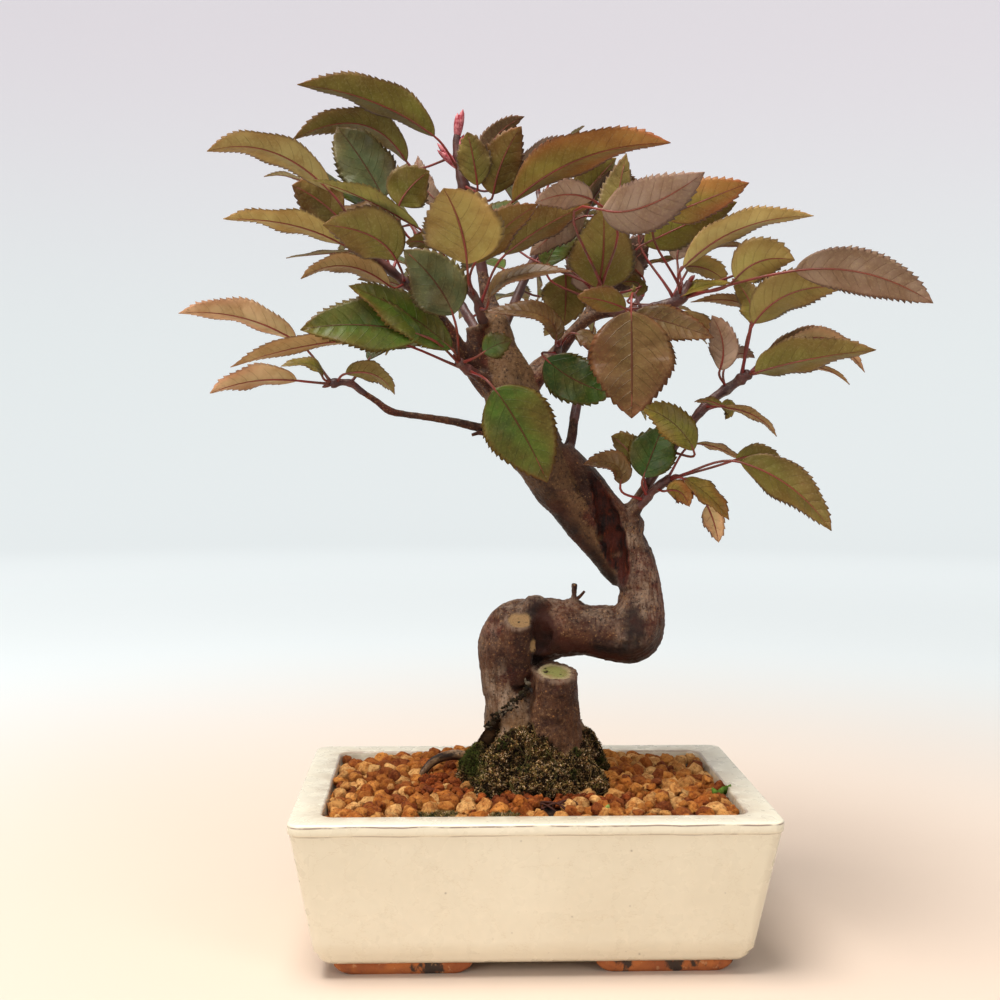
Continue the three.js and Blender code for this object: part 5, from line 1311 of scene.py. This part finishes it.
def sawn_faces(points):
    """For each point: how far it is bare cut wood, its distance from the pith, and the ridge round it."""
    bare, ring, rim = np.zeros((3, len(points)))
    uneven = 0.9 * field(points, 4.5, 2)
    for stations, face, looks in STUBS:
        normal = unit(looks)
        off = points - seen(*face)
        height = off @ normal
        side = np.linalg.norm(off - np.outer(height, normal), axis=1)
        radius = station_curve(stations, 6)[2][-1]
        here = np.clip(1 - np.abs(height) / 1.1, 0, 1) * (side < radius + 1.6)
        within = np.clip((radius * 0.8 + 0.1 + uneven - side) / 0.5, 0, 1)
        bare = np.maximum(bare, np.clip(2.2 * here * within, 0, 1))
        ring = np.where(here > 0, side, ring)
        bulge = np.clip(1.3 - np.abs(height + 0.3 + uneven) / 1.2, 0, 1)
        rim = np.maximum(rim, np.exp(-((side - radius + 0.2) / 0.9) ** 2) * bulge)
    return bare, ring, rim


def make_trunk():
    body, normals = wood_body()
    points = body["points"]
    x, z = points[:, 0], points[:, 2]
    local, radii, numbers = nearest_limb(points)
    bare, ring, rim = sawn_faces(points)
    bark = 1 - bare
    hollow = np.clip(near_curve(points, HOLLOW, 1.0) * 1.6, 0, 1)

    # Relief: lumps, upright ridges, fine grain, and rings of bark on the upper limbs
    low, upper = ramp(z, *COARSE_FOOT), ramp(z, *RINGED_LIMBS)
    thick = np.clip((radii - 1.6) / 7, 0.06, 1)
    lumps = field(local * (1, 1, 0.7), 9, 3)
    ridges = field(local * (1, 1, 0.2), 2.6, 3) * BARK["ridge"] * (0.55 + 1.1 * low - 0.25 * upper)
    grain = field(local * (1, 1, 0.6), 1.2, 2)
    bands = field(local * (0.15, 0.15, 1), 1.8, 2) * upper
    push = BARK["lump"] * (1 + 0.4 * low) * lumps + ridges + BARK["grain"] * grain + BARK["band"] * bands
    quiet = 1 - np.maximum(bare, 0.6 * hollow)
    body["points"] = points + normals * (push * thick * quiet + BARK["collar"] * rim * bark)[:, None]

    # Pale film with painted sheen: lighter on upward faces, on the column's left side and on the knee's front
    column = (numbers == 0) * ramp(z, *PALE_COLUMN) * ramp(z, *PALE_COLUMN_END)
    column = column * np.clip((-1 - x) / 5, 0.5, 1)
    knee = ramp(x, 30, 38) * np.clip(-normals[:, 1], 0, 1) * (z < KNEE_TOP)
    film_and_sheen = np.clip(0.85 * normals[:, 2] - 0.3 * normals[:, 0], 0, 1)
    film_and_sheen = np.maximum(np.maximum(film_and_sheen, column), 0.8 * knee)

    # Painted shade: darker undersides, the gap and the patch on the knee, and under the crown; the front
    # stub's bark is a little darker of its own
    stain = near_curve(points, STAIN, 5) + 0.3 * field(points, 3, 2)
    gap = near_curve(points, RECESS, 6) * 1.9 - 0.35 + 0.35 * field(points, 3, 2)
    shade = np.clip(np.maximum(gap, stain * 1.5 - 0.25), 0, 1)
    under = np.clip(-1.8 * normals[:, 2] + 0.2, 0, 1) * ramp(z, *DARK_UNDERSIDES)
    crown = 0.5 * ramp(z, *CROWN_SHADE) * ramp(z, *CROWN_SHADE_END)
    # Limbs are numbered: column, limb, slab, the roots, then the stubs with the front one first
    front_stub = (numbers == 3 + len(ROOTS)) * bark
    shade_and_dark_stub = np.maximum(np.maximum(under, shade), np.maximum(crown, 0.15 * front_stub))
    lichen = np.maximum(np.clip((112 - z) / 40, 0, 0.9) * (1 - 0.7 * front_stub), 0.75 * (numbers == 2))

    relief = ridges + 0.3 * lumps + 0.14 * bands
    values = dict(relief=relief, hollow=hollow, cut=bare, ring=ring, rim=rim, shade_and_dark_stub=shade_and_dark_stub, grey=film_and_sheen,
                  lichen=lichen)
    body.update(values)
    shells = [body]
    for twiglet in TWIGLETS:
        shell = limb(twiglet, 5, 8)
        shell.update({key: np.zeros(len(shell["points"])) for key in values})
        shells.append(shell)
    piece("bark_trunk", joined(shells), [bark_finish()], ["trunk"])


# Moss

MOSS_DARK, MOSS_MID, MOSS_LEAFY = (np.array(linear(colour)) for colour in ("#0f0a06", "#38220f", "#444c1c"))
MOSS_TIPS = np.array([linear(colour) for colour in (
    "#b0905c", "#765a30", "#c4a480", "#5a4a24", "#8c6840", "#625828", "#845a38")])


def leaflets(rng, feet, ways, green, size):
    """Short pointed leaflets, one at each foot: dark below, tan or green at the tip, in patches."""
    count = len(feet)
    zone = field(feet, 7, 2)
    green = np.clip(np.maximum(green, 0.85 * (zone < -0.45) * (rng.random(count) < 0.35)), 0, 1)[:, None]
    up = unit(ways + rng.normal(size=(count, 3)) * 0.75 + (0, 0, 0.2))
    length = size * rng.uniform(0.55, 1.25, count)[:, None] * (1 + 0.9 * green)
    width = size * rng.uniform(0.26, 0.5, count)[:, None]
    side = turned_off(rng.normal(size=(count, 3)), up)
    other = np.cross(up, side)
    corners = [feet + width * (side * math.cos(a) + other * math.sin(a)) - up * 0.3 for a in turns(3)]
    points = np.stack(corners + [feet + up * length], axis=1).reshape(-1, 3)
    at = np.arange(count)[:, None] * 4
    faces = np.concatenate([at + corner for corner in ((0, 1, 3), (1, 2, 3), (2, 0, 3), (0, 2, 1))])
    tip = MOSS_TIPS[(rng.random(count) ** 1.1 * len(MOSS_TIPS)).astype(int)]
    bright = np.clip(0.75 + 2.0 * field(feet, 2.6, 2) + 0.7 * zone + rng.normal(size=count) * 0.5, 0.04, 2.1)
    tip = tip * bright[:, None] * (1 - green) + MOSS_LEAFY * green * rng.uniform(0.5, 1.3, (count, 1))
    tone = np.stack([tip * 0.25 + MOSS_DARK * 0.5] * 3 + [tip], axis=1).reshape(-1, 4)
    tone[:, 3] = 1
    return {"points": points, "faces": [faces], "tone": tone}


def coloured(shell, colour):
    shell["tone"] = np.tile(linear(colour), (len(shell["points"]), 1))
    return shell


def moss_mound():
    """The mound's skin with its normals, and how far each point lies inside the moss, 0 at its edge to 1."""
    thick = MOSS["thick"]
    front_stub = STUBS[0][0]
    shells = [limb(COLUMN, 6, 28, 0.03, thick, 1, 4.6), limb(front_stub, 6, 28, 0.03, thick * 0.8, 0, 3)]
    shells += [limb(root, 6, 18, 0.03, thick) for root in ROOTS[:4]]
    shells.append(limb(MOSS_RIDGE, 6, 14, 0.08))
    for x, z, y, size in CUSHIONS:
        cushion = [(x, 54, y, size), (x, z - 3, y, size * 0.96), (x, z + 3, y, size * 0.55)]
        shells.append(limb(cushion, 5, 16, 0.05))
    whole = joined(shells)
    # Drawn in behind a plane, and at its lower line
    points = whole["points"]
    points[:, 1] = np.minimum(points[:, 1], MOSS["back"])
    points[:, 2] = np.maximum(points[:, 2], MOSS["bottom"])
    body, normals = shaped(whole, remesh(0.8), smooth(8))
    points = body["points"]
    line = np.interp(points[:, 0], *zip(*MOSS_LINE)) + 3 * field(points * (1, 1, 0.3), 5)
    fade = np.clip((line - points[:, 2]) / 5, -1.2, 1)
    lumps = field(points, 6, 3)
    crumbs = field(points, 1.5, 2)
    swell = (0.9 * lumps + 0.75 * crumbs) * np.clip(fade, 0, 1) - 2.8 * (1 - np.maximum(fade, 0))
    body["points"] = points + normals * swell[:, None]
    # Painted light and shade: the raised lumps and crumbs lighter, the hollows between them darker
    light = np.clip(0.5 + 0.5 * lumps + 0.7 * crumbs, 0, 1)[:, None]
    body["tone"] = MOSS_DARK * (1 - light) + MOSS_MID * light
    return body, normals, fade


def moss_patch(rng, x, y, half_x, half_y):
    """Leaflets on the grains, in an ellipse."""
    count = int(half_x * half_y * 24)
    angle, reach = rng.uniform(0, 2 * np.pi, count), np.sqrt(rng.random(count))
    place = (x + half_x * reach * np.cos(angle), y + half_y * reach * np.sin(angle), np.zeros(count))
    feet = np.stack(place, axis=1)
    feet[:, 2] = soil_height(feet[:, 0], feet[:, 1]) + 0.5 + 0.7 * field(feet, 3, 2)
    return leaflets(rng, feet, np.tile((0.0, 0.0, 1.0), (count, 1)), np.full(count, 0.25), 1.1)


def strands(rng, surface, outward):
    """Strands that wander down over the moss."""
    shells = []
    for k in range(STRANDS):
        at = surface[rng.integers(len(surface))]
        lean = rng.uniform(-0.7, 0.7)
        line = []
        for _ in range(9):
            near = np.linalg.norm(surface - at, axis=1).argmin()
            line.append(surface[near] + outward[near] * rng.uniform(0.5, 1.3))
            at = surface[near] + (lean + rng.normal(), 0, -1.3)
        line = np.array(line)
        line[1:-1] = (line[:-2] + 2 * line[1:-1] + line[2:]) / 4
        line = line[np.concatenate(([True], np.linalg.norm(np.diff(line, axis=0), axis=1) > 0.25))]
        if len(line) > 3:
            shell = tube(line, unit(np.gradient(line, axis=0)), np.linspace(0.3, 0.14, len(line)), 5)
            shells.append(coloured(shell, STRAND_COLOURS[k % len(STRAND_COLOURS)]))
    return shells


def flakes(rng):
    """Dark crumbs that flake off between column and stub."""
    points, faces = ball(2)
    centres, _, spreads = station_curve(FLAKES, 30)
    shells = []
    for centre, spread in zip(centres, spreads):
        size = rng.uniform(0.35, 1.0)
        stretched = points * rng.uniform(0.5, 1.2, 3)
        rough = 1 + 0.5 * field(points + rng.uniform(0, 30, 3), 0.6, 2)
        place = centre + rng.normal(size=3) * (spread * 0.5, 0.4, spread * 0.5)
        colour = FLAKE_COLOURS[int(rng.random() * len(FLAKE_COLOURS))]
        flake = {"points": stretched * rough[:, None] * size + place, "faces": [faces]}
        shells.append(coloured(flake, colour))
    return shells


def rootlets_and_sprouts(rng):
    """Fine dead roots in the gap at the front, and small sprouts among the grains."""
    shells = []
    t = np.linspace(0, 1, 9)[:, None]
    for start, end in ROOTLETS:
        sag = np.sin(np.pi * t) * (rng.uniform(-1.5, 1.5), rng.uniform(-1, 1), 2.4)
        centres = np.array(start) * (1 - t) + np.array(end) * t + sag
        centres[:, 2] += soil_height(centres[:, 0], centres[:, 1]) + 0.8
        ways = unit(np.gradient(centres, axis=0))
        shells.append(coloured(tube(centres, ways, np.linspace(0.5, 0.25, 9), 6), "#4a2c26"))
    t = np.linspace(0, 1, 7)
    for x, y, colour in SPROUTS:
        foot = np.array((x, y, soil_height(x, y) + 1.0))
        for k in range(3):
            angle = 2.1 * k + x
            way = unit((math.cos(angle) * 0.7, math.sin(angle) * 0.5, 1.0))
            centres = foot + way * (t * 4.6)[:, None]
            radii = 1.1 * np.sin(np.pi * t) ** 0.8 + 0.08
            shells.append(coloured(tube(centres, np.tile(way, (7, 1)), radii, 8), colour))
    return shells


def make_moss():
    rng = np.random.default_rng(MOSS_SEED)
    body, normals, fade = moss_mound()
    usable = np.flatnonzero((fade > 0.05) & (normals[:, 1] < 0.35) & (normals[:, 2] > -0.3))
    chosen = rng.choice(usable, MOSS["leaflets"])
    feet = body["points"][chosen] + rng.normal(size=(len(chosen), 3)) * 0.25
    green = ramp(feet[:, 0], -17, -21) * ramp(feet[:, 2], 64, 68)
    shells = [body, leaflets(rng, feet, normals[chosen], green, 1.0)]
    shells += [moss_patch(rng, *patch) for patch in MOSS_PATCHES]
    shells += strands(rng, body["points"][usable], normals[usable])
    shells += flakes(rng)
    shells += rootlets_and_sprouts(rng)
    piece("moss_cover", joined(shells), [moss_finish()], ["moss_mat"])


# Leaves

def tooth_places(length, width):
    """Places along the rib from 0 to 1, and how far out a tooth stands at each, from 0 to 1."""
    teeth = int(np.clip(round(length / TOOTH_PITCH), 6, 24))
    steps = 3 if width > SLIM_LEAF else 2
    rises = [(step + 1) / steps for step in range(steps)]
    rows = [(0.004, 0.0)]
    for k in range(teeth):
        tooth = [((k + rise * TOOTH_PEAK) / teeth, rise) for rise in rises] + [((k + 0.999) / teeth, 0.0)]
        rows += [row for row in tooth if 0.02 < row[0] < 0.985]
    return np.array(rows + [(0.997, 0.0)]).T


def leaf_tones(look, rng, underside_shown):
    """Colour of the top and of the underside, each near the rib and towards the margin."""
    vary = rng.uniform(0.88, 1.14)
    near, far = (light_of(colour) * vary for colour in LOOKS[look])
    if underside_shown:
        return (near * 0.5, far * 0.55), (near, far)
    pale = light_of(PALE_UNDERSIDE)
    return (near, far), (near * 0.55 + pale * 0.5, far * 0.5 + pale * 0.45)


def blade_tone(q, s, look, rng, underside_shown):
    """Colour of each point of a blade, top then underside: rust lies in patches and along the margin."""
    tops, unders = leaf_tones(look, rng, underside_shown)
    rust = light_of(RUST)
    outward = 0.55 * q ** 1.5 + 0.5 * np.abs(s) ** 2.5 + 0.12 * np.sin(9 * q + 5 * s)
    outward = np.clip(outward, 0, 1)[..., None]
    patch = np.sin(4.5 * q + rng.uniform(0, 6)) * np.sin(2.2 * s + rng.uniform(0, 6)) - 0.25
    patch = 0.55 * np.clip(patch, 0, 1)[..., None]
    margin = (0.35 * (np.abs(s) > 0.97) + 0.3 * ramp(q, 0.86, 0.98))[..., None] * rng.uniform(0.4, 1)
    # One half of the blade painted lighter than the other, as light falls on a fold
    lit = (1 + rng.uniform(-0.28, 0.28) * s * np.ones_like(q))[..., None]

    def side(near, far, patched, far_share, rust_share):
        tone = lit * (near * (1 - outward) + far * outward)
        in_patch = far_share * far * lit + rust_share * rust
        tone = tone * (1 - patched * patch) + in_patch * patched * patch
        return tone * (1 - margin) + rust * margin

    upper, lower = side(*tops, 1.0, 0.6, 0.32), side(*unders, 0.6, 0.65, 0.35)
    tone = np.vstack((upper.reshape(-1, 3), lower[:, 1:-1].reshape(-1, 3)))
    return np.hstack((tone, np.ones((len(tone), 1))))


def blade_relief(q, s, reach, length, width, fold, rng):
    """Height over a flat blade: folded, curled, waved, and raised between veins; and the veins' own count."""
    rise = (np.sqrt(reach ** 2 + SOFT_FOLD ** 2) - SOFT_FOLD) * math.sin(math.radians(fold))
    curl = rng.uniform(0.06, 0.2)
    rise = rise - curl * width * (reach / (width / 2)) ** 2 * 0.5 * (fold / 25 + 0.4)
    wave = rng.uniform(1.6, 2.8)
    phases = np.where(s < 0, rng.uniform(0, 6.3), rng.uniform(0, 6.3))
    ripple = np.sin(2 * np.pi * wave * q + phases) * s ** 2 * np.sin(np.pi * q)
    rise = rise + rng.uniform(0.035, 0.07) * width * ripple
    pitch = VEIN_PITCH if width > SLIM_VEINS_UNDER else SLIM_VEIN_PITCH
    vein = (q * length - reach * 0.55 - reach ** 2 * 0.04) / pitch
    vein = vein + np.where(s < 0, 0.5, 0) + rng.uniform(0, 1)
    vein = vein + 0.13 * np.sin(1.9 * vein + rng.uniform(0, 6))
    inner = (1 - np.abs(s)) * np.clip(np.abs(s) * 4, 0, 1)
    return rise - 0.024 * width ** 0.8 * np.cos(2 * np.pi * vein) * inner, vein


def blade_faces(rows, columns):
    """Faces of the top, then of the underside, which shares its two margins with the top, and of the ends."""
    upper = np.arange(rows * columns).reshape(rows, columns)
    lower = upper.copy()
    lower[:, 1:-1] = rows * columns + np.arange(rows * (columns - 2)).reshape(rows, columns - 2)
    quads, corners = [], []
    for row, way in ((0, 1), (rows - 1, -1)):
        a, b = upper[row], lower[row]
        quads.append(np.stack((a[1:-2], a[2:-1], b[2:-1], b[1:-2]), axis=-1)[:, ::way])
        corners.append(np.array(((a[0], a[1], b[1]), (a[-2], a[-1], b[-2])))[:, ::way])
    return [grid_quads(upper, flipped=True), grid_quads(lower), np.vstack(quads), np.vstack(corners)]


def blade_shell(rib, facing, width, fold, look, rng, underside_shown):
    """A toothed blade as one closed thin body; and its rib: points, ways, normals and places."""
    neck, bend, tip = rib
    length = np.linalg.norm(bend - neck) + np.linalg.norm(tip - bend)
    p, bite = tooth_places(length, width)
    q = p[:, None]
    point = (1 - q) ** 2 * neck + 2 * q * (1 - q) * bend + q ** 2 * tip
    along = unit((1 - q) * (bend - neck) + q * (tip - bend))
    twist = math.radians(rng.uniform(-9, 9)) * (q - 0.4)
    flat = turned_off(np.tile(facing, (len(p), 1)), along)
    square = np.cross(along, flat)
    normal = flat * np.cos(twist) + square * np.sin(twist)
    across = square * np.cos(twist) - flat * np.sin(twist)

    s = np.array(SLIM_COLUMNS if width < SLIM_LEAF else COLUMNS_ACROSS)
    edge = np.abs(s) == 1
    steady = ramp(p, 0.1, 0.25) * ramp(p, 0.97, 0.87)
    uneven = 1 + 0.035 * np.sin(7 * p + rng.uniform(0, 6))
    half = width * OUTLINE["scale"] * p ** OUTLINE["neck"] * (1 - p) ** OUTLINE["tip"] * uneven
    depth = TOOTH_DEPTH * min(1, width / 16) * steady * bite * rng.uniform(0.6, 1.25, len(p))
    reach = half[:, None] * np.abs(s) + edge * depth[:, None]
    rise, vein = blade_relief(q, s, reach, length, width, fold, rng)
    sideways = np.sign(s) * reach * math.cos(math.radians(fold))
    middle = point[:, None] + across[:, None] * sideways[..., None] + normal[:, None] * rise[..., None]
    middle += along[:, None] * (edge * (0.5 * bite * steady)[:, None])[..., None]
    droop = rng.uniform(-0.3, 1.0) * width * 0.05 * ramp(q, 0.6, 1) ** 2
    middle -= (normal * droop)[:, None]
    lift = normal[:, None] * (BLADE * (1 - 0.35 * np.abs(s)) / 2)[:, None]
    top = (middle + lift * ~edge[:, None]).reshape(-1, 3)
    under = (middle - lift)[:, 1:-1].reshape(-1, 3)

    faces = blade_faces(len(p), len(s))
    slots = np.ones(sum(len(block) for block in faces))
    slots[:len(faces[0])] = 0
    uv = np.stack((np.broadcast_to(s, vein.shape), vein), axis=-1)
    shell = {"points": np.vstack((top, under)), "faces": faces, "slots": slots,
             "tone": blade_tone(q, s, look, rng, underside_shown),
             "uv": np.vstack((uv.reshape(-1, 2), uv[:, 1:-1].reshape(-1, 2))),
             "along": np.zeros(len(top) + len(under))}
    return shell, (point, along, normal, p)


def plain_values(shell, slot, along=0.0):
    """The values that a stalk, twig or bud needs beside a blade in one mesh."""
    count = len(shell["points"])
    shell.update(slots=np.full(face_count(shell), slot), tone=np.ones((count, 4)), uv=np.zeros((count, 2)),
                 along=np.zeros(count) + along)
    return shell


def leaf_shells(root, heading, neck, middle, tip, width, turn, fold, look, rng):
    """A blade, and its stalk running on as the rib under it; a turn of over 90 shows the underside."""
    sight = unit(middle - EYE)
    side = unit(np.cross(unit(tip - neck), sight))
    if side[2] < 0:
        side = -side
    turned = math.radians(turn)
    facing = -sight * math.cos(turned) + side * math.sin(turned)
    rib = (neck, 2 * middle - 0.5 * neck - 0.5 * tip, tip)
    blade, (points, alongs, normals, p) = blade_shell(rib, facing, width, fold, look, rng, turn > 90)
    reach = 0.35 * np.linalg.norm(neck - root)
    t = np.linspace(0, 1, 9)[:-1, None]
    a, b = root + heading * reach, neck - alongs[0] * reach
    stalk = (1 - t) ** 3 * root + 3 * t * (1 - t) ** 2 * a + 3 * t * t * (1 - t) * b + t ** 3 * neck
    pick = np.flatnonzero(p < 0.94)[::max(1, len(p) // 14)]
    sink = np.clip(p[pick] * 8, 0, 1)[:, None] * 0.22
    centres = np.vstack((stalk, points[pick] - normals[pick] * sink))
    flare = 0.45 * np.linspace(1, 0, len(stalk)) ** 6
    radii = np.concatenate((flare + STALK * 0.95, STALK * 0.85 * (1 - 0.78 * p[pick])))
    shell = tube(centres, unit(np.gradient(centres, axis=0)), radii, 8)
    along = np.concatenate((np.linspace(0, 0.4, len(stalk)), 0.4 + 0.6 * p[pick]))
    return [blade, plain_values(shell, 2, np.append(np.repeat(along, 8), (0, 1)))]


def bud_shells(at, way, length, radius, along=0.05):
    """A pointed bud of three overlapping scales; -1 along gives it the bud's red."""
    shells = []
    t = np.linspace(0, 1, 9)
    radii = radius * (0.35 + 1.1 * t) * (1 - t) ** 0.7 * 1.5 + 0.05
    for k in range(3):
        heading = unit(way + 0.12 * np.array((math.cos(2.1 * k), math.sin(2.1 * k), 0)))
        centres = at + heading * (t * length * (1 - 0.12 * k))[:, None]
        shells.append(plain_values(tube(centres, np.tile(heading, (9, 1)), radii, 10), 2, along))
    return shells


def leaves_by_hand(name, on_twig):
    """Root, heading, neck, middle, tip, width, turn, fold and look of each leaf that a row places."""
    for place, neck, middle, tip, width, turn, fold, look in LEAVES.get(name, ()):
        root, _ = on_twig(place)
        start = seen(*neck)
        depth = (neck[2] + tip[2]) / 2
        yield root, unit(start - root), start, seen(*middle, depth), seen(*tip), width, turn, fold, look


def leaves_by_rule(rule, on_twig):
    """The same for leaves set round a twig by the golden angle, a little drawn to the back."""
    spread = math.radians(rule["spread"])
    for i in range(rule["count"]):
        root, along = on_twig(rule["first"] + (1 - rule["first"]) * i / (rule["count"] - 1))
        across = turned_off(np.array((0.0, 0.0, 1.0)), along)
        angle = math.radians(rule["start"] + GOLDEN * i)
        outward = across * math.cos(angle) + np.cross(along, across) * math.sin(angle)
        way = unit(along * math.cos(spread) + outward * math.sin(spread) + (0, 0.5, 0))
        size = 1 - 0.25 * abs(math.sin(i * 2.3))
        neck = root + way * (13 + 5 * math.sin(i * 1.7))
        tip = neck + way * rule["length"] * size - (0, 0, 9)
        middle = (neck + tip) / 2 + (0, 0, 4)
        yield root, way, neck, middle, tip, rule["width"] * size, 90, 22, BEHIND_LOOKS[i % len(BEHIND_LOOKS)]


def make_shoot(name, finishes):
    rng = np.random.default_rng(sum(ord(letter) for letter in name) * SHOOT_SEED)
    wood, shoot = LIMBS[name]
    stations = wood + shoot
    guide = [seen(x, z, y) for x, z, y, _ in stations]
    begins = len(wood) - 1

    def on_twig(t):
        point, way = curve_at(guide, begins + t * len(shoot))
        return point[0], way[0]

    centres, ways, radii = station_curve(stations, 8, begins - 0.25)
    radii[:2] *= 0.9
    leaves = list(leaves_by_hand(name, on_twig))
    if name in BEHIND:
        leaves += leaves_by_rule(BEHIND[name], on_twig)
    shells = []
    for leaf in leaves:
        shells += leaf_shells(*leaf, rng)
        # The twig swells where a stalk leaves it
        radii = radii + 0.32 * np.exp(-(np.linalg.norm(centres - leaf[0], axis=1) / 1.3) ** 2)
    shells.append(plain_values(tube(centres, ways, radii, 12, 0.03), 3))
    _, end_way = on_twig(0.9)
    for root, way, *_ in leaves[::2]:
        shells += bud_shells(root + end_way * 0.8, unit(way * 0.5 + end_way), 2.6, 0.7)
    end, way = centres[-1], ways[-1]
    if name == "leader":
        shells += bud_shells(end - way * 7, way, 12, 1.7, -1)
        shells += bud_shells(end - way * 14, unit(way + (0.35, 0, 0)), 11, 1.4, -1)
        shells += bud_shells(on_twig(0.62)[0], unit((-0.8, 0, 0.75)), 14, 1.5, -1)
    else:
        shells += bud_shells(end - way, way, 4.5, 0.9)
    piece(f"leafy_{name}", joined(shells), finishes, [f"shoot_{name}"])


# Making

place_camera()
make_studio()
make_pot()
make_soil_bed()
make_grains()
make_trunk()
make_moss()
leaf_finishes = [leaf_top_finish(), leaf_under_finish(), stalk_finish(), twig_finish()]
for shoot_name in LIMBS:
    make_shoot(shoot_name, leaf_finishes)
mesh_finish = screen_finish()
for node_name in ("drainage_screen_left", "drainage_screen_right"):
    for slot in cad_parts[node_name].material_slots:
        slot.material = mesh_finish
